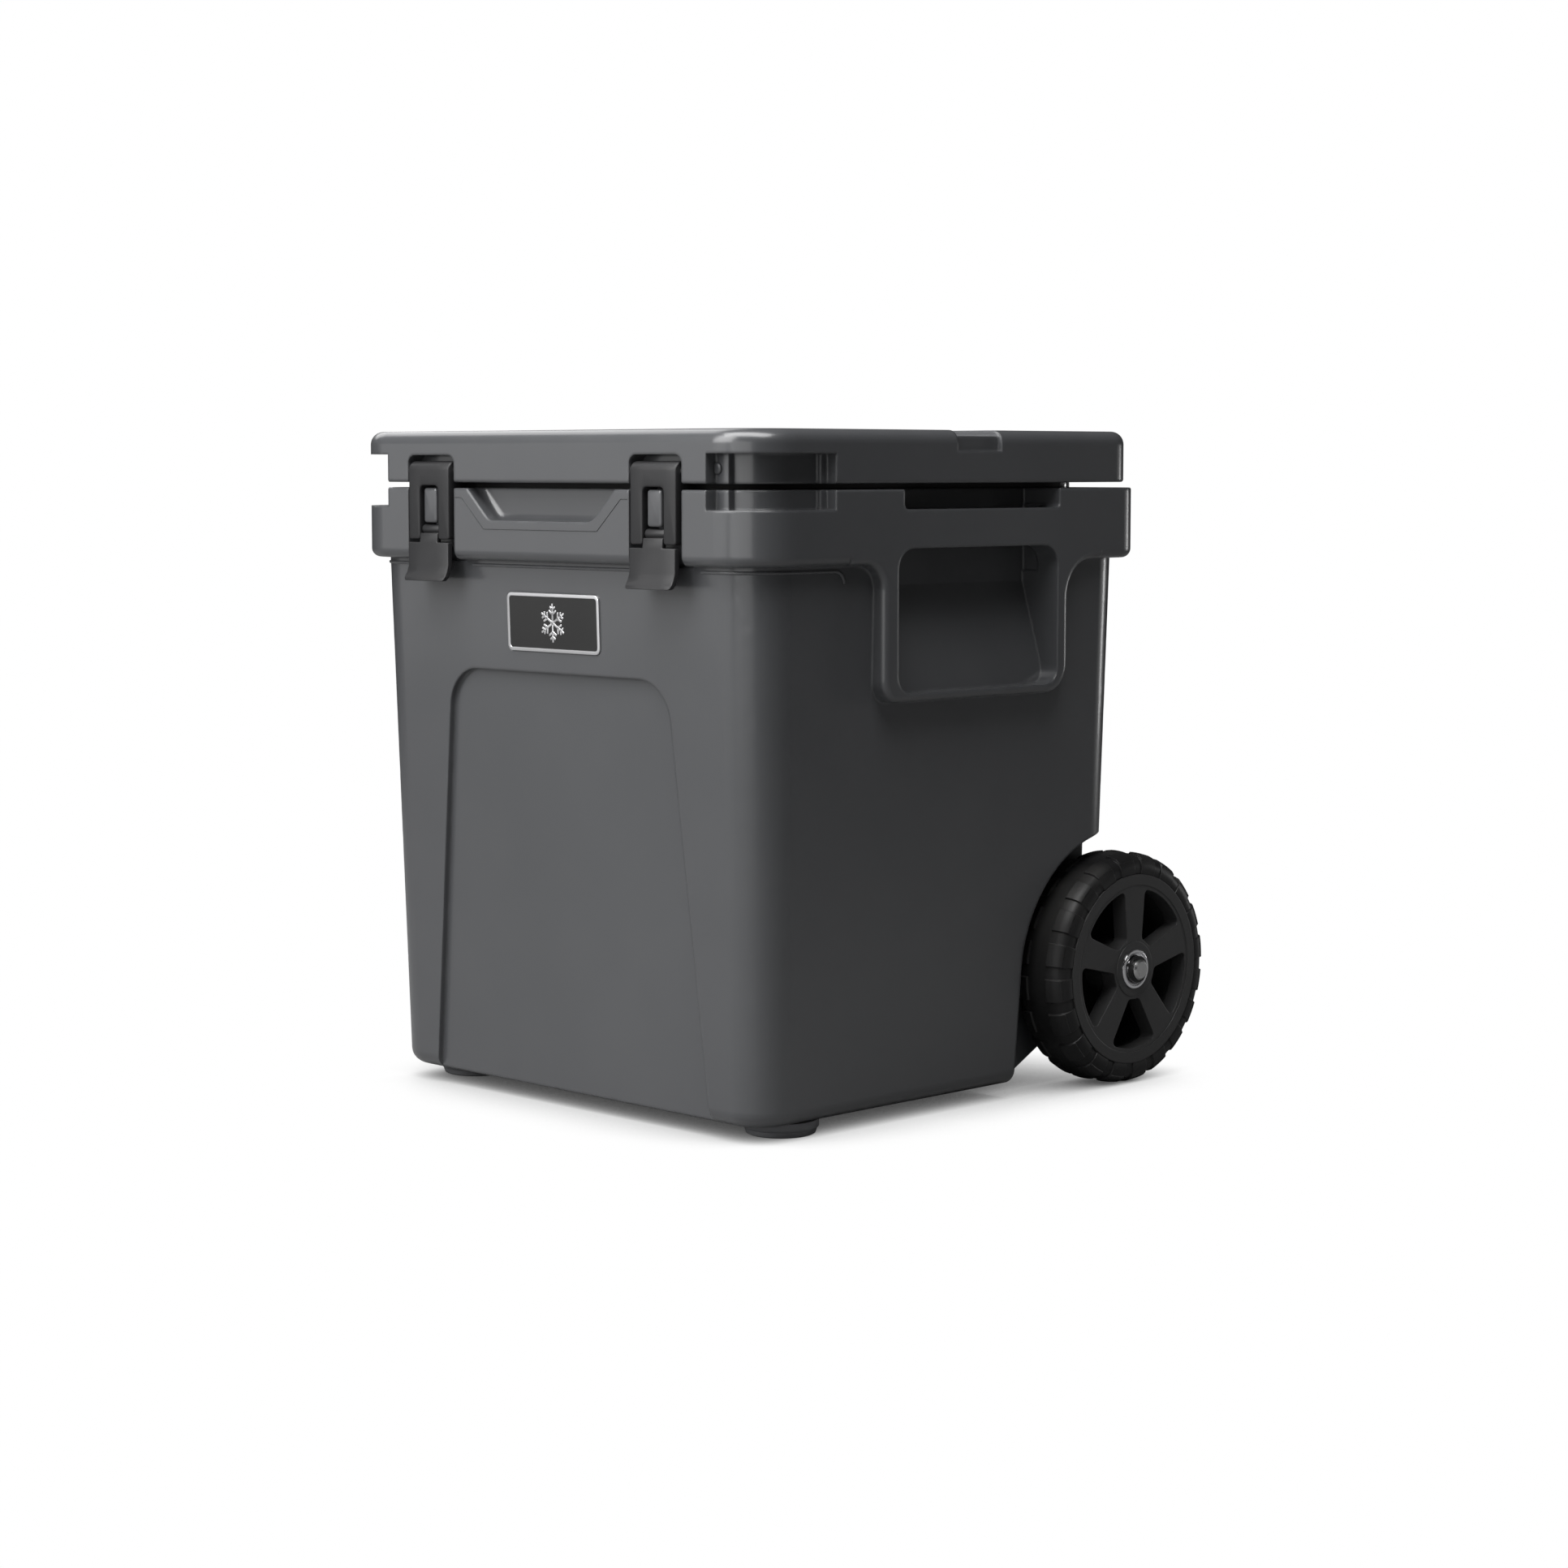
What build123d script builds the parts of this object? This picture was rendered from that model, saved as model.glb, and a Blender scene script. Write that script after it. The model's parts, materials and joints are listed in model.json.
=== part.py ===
"""Wheeled hard cooler: foam-filled tub and lid, rubber latches, telescoping tow handle and two wheels.

Millimetres. +X is the cooler's left-to-right as seen from the front, -Y is its front, +Z is up.
The origin is on the floor, midway across the width and midway along the whole depth.
"""

import os
from math import cos, pi

from build123d import *

# ---- driving dimensions -------------------------------------------------------------------------
# Depths are counted back from the front face of the rim; row_y() turns them into the part's own Y.
TOTAL_HEIGHT = 510.0
RIM_HALF_WIDTH = 228.0
RIM_BACK = 420.0
RIM_CORNER = (42.0, 22.0)  # at the front, at the back
RIM_TOP = 467.0
RIM_BOTTOM = 413.0
LID_BACK = 410.5
LID_GAP = 4.3
LID_BOTTOM = RIM_TOP + LID_GAP
LID_TOP_RADIUS = 10.0

BODY_BOTTOM = 11.0
BODY_HALF_WIDTH = (207.5, 216.0)  # at the bottom, under the rim
BODY_FRONT = (25.0, 12.0)
BODY_BACK = (403.5, 414.5)
BODY_CORNER = ((30.0, 26.0), (36.0, 30.0))  # front and back corners at the bottom and the top
SKIN = 5.0

TUB_FLOOR = 72.0
TUB_HALF_WIDTH = (158.0, 172.0)
TUB_FRONT = (52.0, 40.0)
TUB_BACK = (372.0, 385.0)
TUB_CORNER = ((30.0, 30.0), (38.0, 38.0))

WHEEL_RADIUS = 91.2
WHEEL_DEPTH = 410.4  # of the axle, back from the rim's front face
WHEEL_INNER = 186.0  # |x| of the tyre's two sides
WHEEL_OUTER = 232.0
WELL_WALL = 180.0  # |x| of the wall beside each wheel
WELL_RADIUS = 108.0
RIM_DISC_RADIUS = 74.35
AXLE_RADIUS = 8.0
AXLE_HALF_LENGTH = 240.0
SPOKES = 5

LATCH_CENTRE = 126.5  # |x| of each latch
CHANNEL_WIDTH = 55.4
CHANNEL_DEPTH = 14.0
ARM_WIDTH = 48.0
WINDOW_WIDTH = 22.0
ARM_PIN = (5.0, 480.0)  # depth and height of the pin that the arm swings on
TAB_PIN = (3.0, 435.6)
LIP_FRONT = -8.6  # the foremost point of the cooler

HINGE_PIN = (416.0, 469.2)
KNUCKLE_RADIUS = 8.0
KNUCKLES = (70.0, 88.0, 132.0, 150.0)  # |x| of the joints between a hinge's knuckles

HANDLE_DEPTH = 473.0
HANDLE_HALF_SPACING = 85.0
CROSSBAR_HALF = HANDLE_HALF_SPACING + 12.0  # half the length of the grip and of the bridge
OUTER_TUBE = (11.0, 9.6, 125.0, 402.0)  # outer radius, bore radius, bottom, top
MIDDLE_TUBE = (9.3, 7.9, 130.0, 416.0)
INNER_TUBE = (7.6, 6.2, 135.0, 460.0)
GRIP_BOTTOM, GRIP_TOP = 444.0, 474.0

RUNNING_GAP = 0.05  # radial gap of a pin in a bore that turns on it
LOOSE_GAP = 0.6  # side gap between pieces that move past each other

DEPTH_CENTRE = (LIP_FRONT + WHEEL_DEPTH + WHEEL_RADIUS) / 2


# ---- helpers ------------------------------------------------------------------------------------
def row_y(depth):
    """Y of a point a given depth behind the rim's front face."""
    return depth - DEPTH_CENTRE


def sheet(half_width, front, back, corner, z):
    """A level rounded rectangle; its front corners and its back corners have their own radii."""
    face = Rectangle(2 * half_width, back - front)
    face = fillet(face.vertices().group_by(Axis.Y)[0], corner[0])
    face = fillet(face.vertices().group_by(Axis.Y)[-1], corner[1])
    return Pos(0, row_y((front + back) / 2), z) * face


def plate(half_width, front, back, corner, low, high):
    """An upright prism with a rounded-rectangle plan."""
    return extrude(sheet(half_width, front, back, corner, low), high - low)


def tapered(half_width, front, back, corner, low, high, grow=0.0):
    """A drafted tub: each size is given at the bottom and at the top, and grow moves the walls out."""
    levels = []
    for end, z in enumerate((low, high)):
        radii = (corner[end][0] + grow, corner[end][1] + grow)
        levels.append(sheet(half_width[end] + grow, front[end] - grow, back[end] + grow, radii, z))
    return loft(levels)


def block(x, depth, z):
    """A box between low and high values of x, of depth and of height."""
    size = (x[1] - x[0], depth[1] - depth[0], z[1] - z[0])
    return Pos((x[0] + x[1]) / 2, row_y((depth[0] + depth[1]) / 2), (z[0] + z[1]) / 2) * Box(*size)


def bar_x(x, depth, z, radius):
    """A round bar along X between two values of x."""
    return Pos((x[0] + x[1]) / 2, row_y(depth), z) * Rot(Y=90) * Cylinder(radius, x[1] - x[0])


def bar_y(x, depth, z, radius):
    """A round bar along Y between two depths."""
    return Pos(x, row_y((depth[0] + depth[1]) / 2), z) * Rot(X=90) * Cylinder(radius, depth[1] - depth[0])


def bar_z(x, depth, z, radius):
    """An upright round bar between two heights."""
    return Pos(x, row_y(depth), (z[0] + z[1]) / 2) * Cylinder(radius, z[1] - z[0])


def side_prism(outline, x):
    """A prism along X whose outline is a list of (depth, height) points."""
    points = [(x[0], row_y(depth), z) for depth, z in outline]
    face = make_face(Polyline(*points, close=True))
    return extrude(face, x[1] - x[0], dir=(1, 0, 0))


def front_prism(outline, depth):
    """A prism along Y whose outline is a list of (x, height) points."""
    points = [(x, row_y(depth[0]), z) for x, z in outline]
    face = make_face(Polyline(*points, close=True))
    return extrude(face, depth[1] - depth[0], dir=(0, 1, 0))


def both_sides(shape):
    """The shape and its mirror image across the middle."""
    return [shape, mirror(shape, Plane.YZ)]


def long_edges(shape, axis):
    """The shape's straight edges that run along an axis."""
    return shape.edges().filter_by(axis)


def cut_all(shape, cutters):
    """The shape with every cutter taken away."""
    for cutter in cutters:
        shape = shape - cutter
    return shape


# ---- cutters shared by the tub and the lid -------------------------------------------------------
def latch_channel(low, high, corner=0.0):
    """The pocket that one latch lies in; its top corners may be rounded."""
    half = CHANNEL_WIDTH / 2
    channel = block((LATCH_CENTRE - half, LATCH_CENTRE + half), (-6, CHANNEL_DEPTH), (low, high))
    if corner:
        top = long_edges(channel, Axis.Y).group_by(Axis.Z)[-1]
        channel = fillet(top, corner)
    return channel


def corner_notch(low, high):
    """The stepped recess round the right front corner."""
    start_x, start_depth = 179.0, 81.0
    deep_x, deep_depth = 191.4, 75.0
    flat, deep = 10.0, 14.5
    radii = (RIM_CORNER[0] - flat, RIM_CORNER[1])
    inset = plate(RIM_HALF_WIDTH - flat, flat, RIM_BACK, radii, low - 1, high + 1)
    deeper = plate(RIM_HALF_WIDTH - deep, deep, RIM_BACK, radii, low - 1, high + 1)
    ends = block((start_x, 240), (-6, start_depth), (low, high)) - inset
    middle = block((deep_x, 240), (-6, deep_depth), (low, high)) - deeper
    return ends + middle


# ---- tub ----------------------------------------------------------------------------------------
POCKET_LOW, POCKET_HIGH = 319.0, 424.4
SLOT_FLOOR = 452.5
PASSAGE_WALL = 191.0


def body_outside():
    """The tub's outer form: drafted sides, the rim round its top, and a pad round each grab pocket."""
    walls = tapered(BODY_HALF_WIDTH, BODY_FRONT, BODY_BACK, BODY_CORNER, BODY_BOTTOM, RIM_BOTTOM + 4)
    walls = fillet(walls.faces().sort_by(Axis.Z)[0].edges(), 12)
    rim = plate(RIM_HALF_WIDTH, 0, RIM_BACK, RIM_CORNER, RIM_BOTTOM, RIM_TOP)
    rim = fillet(rim.faces().sort_by(Axis.Z)[0].edges(), 7)
    rim = fillet(rim.faces().sort_by(Axis.Z)[-1].edges(), 1.5)
    outside = walls + rim
    for each in both_sides(pocket_frame()):
        outside = outside + each
    return outside


def pocket_frame():
    """The raised frame round the right grab pocket, flared where it runs into the rim."""
    low, front, back = 312.5, 131, 333
    merge, left, right = RIM_BOTTOM + 14, 96, 372
    outline = [
        (left, merge),
        (left, RIM_BOTTOM),
        (front, RIM_BOTTOM),
        (front, low),
        (back, low),
        (back, RIM_BOTTOM),
        (right, RIM_BOTTOM),
        (right, merge),
    ]
    frame = side_prism(outline, (195, RIM_HALF_WIDTH))
    rounded = ((front, RIM_BOTTOM, 18), (front, low, 16), (back, low, 22), (back, RIM_BOTTOM, 30))
    for depth, z, radius in rounded:
        corner = long_edges(frame, Axis.X).sort_by_distance((211, row_y(depth), z))[0]
        frame = fillet(corner, radius)
    lower = [edge for edge in frame.faces().sort_by(Axis.X)[-1].edges() if edge.center().Z < RIM_BOTTOM + 2]
    return fillet(lower, 5)


def arch_panel():
    """The shallow arched recess in the front, open at the bottom."""
    depth = 4.5
    outline = [(-156.5, 4), (156.5, 4), (121.5, 330), (-121.5, 330)]
    arch = front_prism(outline, (-20, 60))
    arch = fillet(long_edges(arch, Axis.Y).group_by(Axis.Z)[-1], 33)
    front = (BODY_FRONT[0] + depth, BODY_FRONT[1] + depth)
    square = ((1, 1), (1, 1))
    behind = tapered((230, 230), front, (400, 400), square, BODY_BOTTOM, RIM_BOTTOM + 4)
    below = block((-230, 230), (BODY_FRONT[0] + depth, 400), (-5, BODY_BOTTOM))
    return arch - behind - below


def scoop():
    """The finger scoop in the rim, between the latches."""
    outline = [(-85, RIM_TOP + 1), (-58, 443), (58, 443), (85, RIM_TOP + 1)]
    hollow = front_prism(outline, (-6, 14))
    hollow = fillet(long_edges(hollow, Axis.Y).group_by(Axis.Z)[0], 14)
    return fillet(hollow.faces().sort_by(Axis.Y)[-1].edges().group_by(Axis.Z)[0], 5)


def grab_pocket():
    """The right-hand pocket for the fingers, with the strap passage behind the rim's outer bar."""
    shallow = 214.0  # |x| of the pocket's back wall at its foot
    outline = [
        (PASSAGE_WALL, POCKET_HIGH),
        (PASSAGE_WALL, POCKET_HIGH - 28),
        (shallow, POCKET_LOW),
        (240, POCKET_LOW),
        (240, POCKET_HIGH),
    ]
    points = [(x, row_y(145), z) for x, z in outline]
    pocket = extrude(make_face(Polyline(*points, close=True)), 176, dir=(0, 1, 0))
    window = block((180, 250), (145, 321), (POCKET_LOW, POCKET_HIGH))
    for place, radius in ((0, 14), (-1, 16)):
        window = fillet(long_edges(window, Axis.X).group_by(Axis.Z)[place], radius)
    pocket = pocket & window
    passage = block((PASSAGE_WALL, 207), (152, 322), (POCKET_HIGH - 20, RIM_TOP + 1))
    slot = block((PASSAGE_WALL, 240), (151, 322.5), (SLOT_FLOOR, RIM_TOP + 1))
    slot = fillet(long_edges(slot, Axis.X).group_by(Axis.Z)[0], 4)
    return pocket + passage + slot


def wheel_well():
    """The space round the right wheel, open outward, backward and down."""
    arch = bar_x((WELL_WALL, 250), WHEEL_DEPTH, WHEEL_RADIUS, WELL_RADIUS)
    front = WHEEL_DEPTH - WELL_RADIUS
    under = side_prism([(front, WHEEL_RADIUS), (front - 7, -5), (530, -5), (530, WHEEL_RADIUS)], (WELL_WALL, 250))
    return arch + under


def tilt_slope():
    """The wedge cut off the bottom at the back, so that the cooler can be tipped onto its wheels."""
    return side_prism([(320, BODY_BOTTOM - 0.01), (430, 69), (430, -5), (320, -5)], (-250, 250))


def tub_hollow():
    """The space inside the tub."""
    hollow = tapered(TUB_HALF_WIDTH, TUB_FRONT, TUB_BACK, TUB_CORNER, TUB_FLOOR, RIM_TOP + 1)
    return fillet(hollow.faces().sort_by(Axis.Z)[0].edges(), 14)


def hinge_knuckle(x, radius):
    """One stretch of hinge barrel on the right."""
    return bar_x(x, *HINGE_PIN, radius)


def body_foam():
    """Foam that fills the tub's double wall; the skin is what is left round it."""
    half_width = (BODY_HALF_WIDTH[0] - SKIN - 0.5, BODY_HALF_WIDTH[1] - SKIN)
    front = (BODY_FRONT[0] + SKIN + 4.5, BODY_FRONT[1] + SKIN + 5)
    back, radii = (396, 396), ((25, 20), (31, 20))
    foam = tapered(half_width, front, back, radii, BODY_BOTTOM + SKIN, RIM_TOP - SKIN)
    foam = foam - tapered(
        TUB_HALF_WIDTH, TUB_FRONT, TUB_BACK, TUB_CORNER, TUB_FLOOR - SKIN, RIM_TOP + 1, SKIN
    )
    pocket = block((PASSAGE_WALL - SKIN, 240), (140, 328), (307, RIM_TOP + 1))
    well = bar_x((WELL_WALL - SKIN, 250), WHEEL_DEPTH, WHEEL_RADIUS, WELL_RADIUS + SKIN)
    under = block((WELL_WALL - SKIN, 250), (289, 420), (-5, WHEEL_RADIUS))
    notch = plate(RIM_HALF_WIDTH - 21, 21, RIM_BACK, (RIM_CORNER[0], RIM_CORNER[0]), 446, RIM_TOP)
    corner = block((174, 240), (-6, 87), (447, RIM_TOP)) - notch
    for cutter in (pocket, well, under, corner):
        foam = cut_all(foam, both_sides(cutter))
    foam = foam - block((-240, 240), (386, 420), (58, 124))
    foam = foam - side_prism([(313, 10), (430, 75), (430, -5), (313, -5)], (-250, 250))
    for x, depth in FOOT_PLACES:
        foam = foam - bar_z(x, depth, (BODY_BOTTOM, 30), 8)
    return foam - bar_x((-250, 0), *DRAIN_PLACE, DRAIN_BOSS_RADIUS)


def body_shell(fittings):
    """The moulded tub, less its foam and less each fitting that is let into it."""
    shell = body_outside()
    mirrored = [
        latch_channel(RIM_BOTTOM - 1, RIM_TOP + 1),
        corner_notch(452.9, RIM_TOP + 1),
        grab_pocket(),
        wheel_well(),
    ]
    for cutter in mirrored:
        shell = cut_all(shell, both_sides(cutter))
    shell = cut_all(shell, [arch_panel(), scoop(), tilt_slope(), tub_hollow(), body_foam()])
    first, second, third, last = KNUCKLES
    lid_pocket = hinge_knuckle((second - LOOSE_GAP, third + LOOSE_GAP), KNUCKLE_RADIUS + 1)
    lid_pocket += block((second - LOOSE_GAP, third + LOOSE_GAP), (HINGE_PIN[0], 430), (460.2, RIM_TOP + 1))
    shell = cut_all(shell, both_sides(lid_pocket))
    for x in ((first, second), (third, last)):
        knuckle = hinge_knuckle(x, KNUCKLE_RADIUS) + block(x, (408, 424), (456, HINGE_PIN[1]))
        for each in both_sides(knuckle):
            shell = shell + each
    shell = shell - bar_x((-250, -150), *DRAIN_PLACE, DRAIN_SLEEVE_RADIUS)
    return cut_all(shell, fittings)


def fill_plug():
    """The plug in the bottom that closes the foam filling hole."""
    plug = bar_z(0, 200, (BODY_BOTTOM, BODY_BOTTOM + SKIN), 10)
    return plug + bar_z(0, 200, (BODY_BOTTOM - 1.5, BODY_BOTTOM), 13)


def nameplate():
    """A blank plate with rounded corners, lying on the drafted front."""
    height, width, thickness, middle = 43.7, 103.8, 4.0, 367.5
    rise = (middle - BODY_BOTTOM) / (RIM_BOTTOM + 4 - BODY_BOTTOM)
    face_depth = BODY_FRONT[0] + rise * (BODY_FRONT[1] - BODY_FRONT[0])
    lean = Plane(
        origin=(0, row_y(face_depth - 1.2), middle),
        x_dir=(1, 0, 0),
        z_dir=(0, -1, -(BODY_FRONT[0] - BODY_FRONT[1]) / (RIM_BOTTOM + 4 - BODY_BOTTOM)),
    )
    return extrude(lean * RectangleRounded(width, height, 5), -thickness)


# ---- feet, drain and axle -----------------------------------------------------------------------
FOOT_PLACES = ((173.5, 79.0), (-173.5, 79.0))
DRAIN_PLACE = (150.0, 86.0)
DRAIN_SLEEVE_RADIUS = 14.0
DRAIN_BORE = 10.0
DRAIN_BOSS_RADIUS = 18.0  # of the solid plastic round the sleeve
SCREW_RADIUS = 2.5
SCREW_HEAD_RADIUS = 5.0


def foot(x, depth):
    """A round foot that flares up from its tread, with a sunk hole for its screw."""
    base = bar_z(x, depth, (0, BODY_BOTTOM), 28)
    base = fillet(base.edges().group_by(Axis.Z)[0], 3)
    return base - foot_screw(x, depth) - bar_z(x, depth, (-1, 3), SCREW_HEAD_RADIUS)


def foot_screw(x, depth):
    """The screw that holds a foot, its head sunk clear of the floor."""
    head = bar_z(x, depth, (3, 6), SCREW_HEAD_RADIUS)
    return head + bar_z(x, depth, (6, 26), SCREW_RADIUS)


def drain_sleeve():
    """The flanged sleeve that lines the drain hole through the left wall."""
    sleeve = bar_x((-212, -159), *DRAIN_PLACE, DRAIN_SLEEVE_RADIUS)
    sleeve += bar_x((-215, -209), *DRAIN_PLACE, 20)
    return sleeve - bar_x((-230, -150), *DRAIN_PLACE, DRAIN_BORE)


def drain_knob():
    """The drain stopper, with a wing to turn it by."""
    knob = bar_x((-216, -182), *DRAIN_PLACE, DRAIN_BORE - RUNNING_GAP)
    knob += bar_x((-220, -215.3), *DRAIN_PLACE, 17)
    depth, z = DRAIN_PLACE
    wing = block((-231, -219), (depth - 3, depth + 3), (z - 14, z + 14))
    return knob + fillet(long_edges(wing, Axis.Y).group_by(Axis.X)[0], 5)


def axle():
    """The steel axle, chamfered at both ends."""
    rod = bar_x((-AXLE_HALF_LENGTH, AXLE_HALF_LENGTH), WHEEL_DEPTH, WHEEL_RADIUS, AXLE_RADIUS)
    return chamfer(rod.edges().filter_by(GeomType.CIRCLE), 1.5)


CLAMP_CENTRE = 120.0
CLAMP_HOLES = (74.0, 108.4)


def axle_clamp():
    """The right-hand saddle that holds the axle in its groove."""
    clamp = block((CLAMP_CENTRE - 13, CLAMP_CENTRE + 13), (402, 423), (65, 117.4))
    clamp = fillet(long_edges(clamp, Axis.X).group_by(Axis.Y)[-1], 6)
    return clamp - axle_screws() - bar_x((90, 150), WHEEL_DEPTH, WHEEL_RADIUS, AXLE_RADIUS)


def axle_screws():
    """The two screws of the right-hand saddle."""
    screws = [
        bar_y(CLAMP_CENTRE, (392, 421), z, SCREW_RADIUS) + bar_y(CLAMP_CENTRE, (421, 425), z, SCREW_HEAD_RADIUS)
        for z in CLAMP_HOLES
    ]
    return screws[0] + screws[1]


def axle_ring(x, radius):
    """A flat ring on the right end of the axle."""
    ring = bar_x(x, WHEEL_DEPTH, WHEEL_RADIUS, radius)
    return ring - bar_x((100, 250), WHEEL_DEPTH, WHEEL_RADIUS, AXLE_RADIUS)


# ---- wheels -------------------------------------------------------------------------------------
HUB_RADIUS = 21.5
BEARING_RADIUS = 15.5
HUB_FACE = 234.2
HUB_BACK = 184.4


def wheel_frame():
    """The plane whose normal is the right wheel's axle, with its origin where the axle crosses x = 0."""
    return Plane(origin=(0, row_y(WHEEL_DEPTH), WHEEL_RADIUS), x_dir=(0, 1, 0), z_dir=(1, 0, 0))


def tyre():
    """The solid tyre: round shoulders on a slightly crowned tread."""
    shoulder = 9.0
    wall = 0.8
    profile = [
        (RIM_DISC_RADIUS, WHEEL_INNER + wall),
        (WHEEL_RADIUS - shoulder, WHEEL_INNER),
        (WHEEL_RADIUS - 1.2, WHEEL_INNER + shoulder),
        (WHEEL_RADIUS, (WHEEL_INNER + WHEEL_OUTER) / 2),
        (WHEEL_RADIUS - 1.2, WHEEL_OUTER - shoulder),
        (WHEEL_RADIUS - shoulder, WHEEL_OUTER),
        (RIM_DISC_RADIUS, WHEEL_OUTER - wall),
    ]
    inner, left, left_top, crown, right_top, right, outer = profile
    mid = (WHEEL_INNER + shoulder, WHEEL_OUTER - shoulder)
    bulge = shoulder * cos(pi / 4)
    left_via = (WHEEL_RADIUS - shoulder + bulge - 0.6, mid[0] - bulge)
    right_via = (WHEEL_RADIUS - shoulder + bulge - 0.6, mid[1] + bulge)
    edges = [
        Line(inner, left),
        ThreePointArc(left, left_via, left_top),
        ThreePointArc(left_top, crown, right_top),
        ThreePointArc(right_top, right_via, right),
        Line(right, outer),
        Line(outer, inner),
    ]
    face = make_face(Curve() + edges)
    ring = revolve(Plane.XZ * face, Axis.Z)
    return wheel_frame() * ring


def wheel_rim():
    """The rim: outer band, dished five-spoke disc and hub, bored for two bearings."""
    frame = wheel_frame()

    def ring(outer, inner, x):
        return frame * Pos(0, 0, x[0]) * extrude(Circle(outer) - Circle(inner), x[1] - x[0])

    band = ring(RIM_DISC_RADIUS, 66, (WHEEL_INNER + 1, 232.9))
    disc = ring(67, 15, (219, 232.4))
    hub = ring(HUB_RADIUS, 12, (HUB_BACK + 1.4, 233))
    windows = Circle(63) - Circle(24)
    for number in range(SPOKES):
        spoke = make_face(Polyline((15, -8), (66, -12.5), (66, 12.5), (15, 8), close=True))
        windows = windows - Rot(Z=90 + 360 / SPOKES * number) * spoke
    windows = fillet(windows.vertices(), 4)
    disc = disc - frame * Pos(0, 0, 210) * extrude(windows, 30)
    seats = [ring(BEARING_RADIUS, 5, x) for x in BEARING_SPANS]
    return cut_all(band + disc + hub, seats)


BEARING_SPANS = ((HUB_BACK, 197), (221, HUB_FACE))


def bearing(x):
    """A sealed bearing: one ring with a running fit on the axle."""
    ring = bar_x(x, WHEEL_DEPTH, WHEEL_RADIUS, BEARING_RADIUS)
    return ring - bar_x((100, 250), WHEEL_DEPTH, WHEEL_RADIUS, AXLE_RADIUS + RUNNING_GAP)


# ---- lid ----------------------------------------------------------------------------------------
LID_PLUG_HOLE = (181.0, 482.0, 4.25)


def lid_foam():
    """Foam inside the lid and its inner step, with the filling hole's stretch."""
    foam = plate(204, 23, 396, (40, 30), LID_BOTTOM + SKIN, 500)
    foam = foam + plate(158, 54, 371, (30, 30), 464, 480)
    corner = block((170, 240), (-6, 90), (460, 500)) - plate(204, 30, 396, (60, 30), 460, 500)
    return cut_all(foam, both_sides(corner))


def strap_groove():
    """The strap's path over the top of the lid and down both its sides."""
    top = block((-240, 240), (208, 256), (TOTAL_HEIGHT - 4.5, TOTAL_HEIGHT + 5))
    side = block((RIM_HALF_WIDTH - 4.5, 240), (208, 256), (494.6, TOTAL_HEIGHT + 5))
    return top + side + mirror(side, Plane.YZ)


def lid_shell(fittings):
    """The moulded lid: rounded top, inner step, latch and corner recesses, strap groove and knuckles."""
    shell = plate(RIM_HALF_WIDTH, 0, LID_BACK, RIM_CORNER, LID_BOTTOM, TOTAL_HEIGHT)
    shell = fillet(shell.faces().sort_by(Axis.Z)[-1].edges(), LID_TOP_RADIUS)
    shell = fillet(shell.faces().sort_by(Axis.Z)[0].edges(), 2)
    step = plate(164, 48, 377, (32, 32), 459, LID_BOTTOM + 4)
    shell = shell + fillet(step.faces().sort_by(Axis.Z)[0].edges(), 5)
    for cutter in (latch_channel(LID_BOTTOM - 1, 492, 7), corner_notch(LID_BOTTOM - 1, 492.6)):
        shell = cut_all(shell, both_sides(cutter))
    shell = cut_all(shell, [strap_groove(), lid_foam()])
    first, second, third, last = KNUCKLES
    for x in ((first - LOOSE_GAP, second + LOOSE_GAP), (third - LOOSE_GAP, last + LOOSE_GAP)):
        shell = cut_all(shell, both_sides(hinge_knuckle(x, KNUCKLE_RADIUS + 1)))
    inside = (second + LOOSE_GAP, third - LOOSE_GAP)
    knuckle = hinge_knuckle(inside, KNUCKLE_RADIUS)
    knuckle += block(inside, (402, HINGE_PIN[0]), (LID_BOTTOM, HINGE_PIN[1] + KNUCKLE_RADIUS))
    knuckle = knuckle - hinge_knuckle((60, 160), HINGE_ROD_RADIUS + RUNNING_GAP)
    for each in both_sides(knuckle):
        shell = shell + each
    return cut_all(shell, fittings)


def lid_fill_plug():
    """The domed plug in the right corner recess that closes the lid's foam filling hole."""
    x, z, radius = LID_PLUG_HOLE
    stem = bar_y(x, (9, 29.5), z, radius - 1)
    cap = bar_y(x, (8.4, 10), z, radius)
    return fillet(cap.edges().group_by(Axis.Y)[0], 1.2) + stem


def lid_gasket():
    """The square ring under the lid that lies on the rim's top."""
    low, high = RIM_TOP + 0.1, LID_BOTTOM
    return plate(186, 27, 399, (44, 44), low, high) - plate(178, 35, 391, (36, 36), low, high)


# ---- hinge rods and latches ---------------------------------------------------------------------
HINGE_ROD_RADIUS = 3.0
ARM_PIN_RADIUS = 3.0
TAB_PIN_RADIUS = 1.6
TAB_KNUCKLE_RADIUS = 3.8


def hinge_rod():
    """The right-hand hinge's steel rod."""
    return hinge_knuckle((KNUCKLES[0], KNUCKLES[-1]), HINGE_ROD_RADIUS)


def latch_pin():
    """The pin in the lid that the right-hand latch swings on."""
    half = CHANNEL_WIDTH / 2 + 5
    return bar_x((LATCH_CENTRE - half, LATCH_CENTRE + half), *ARM_PIN, ARM_PIN_RADIUS)


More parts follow.
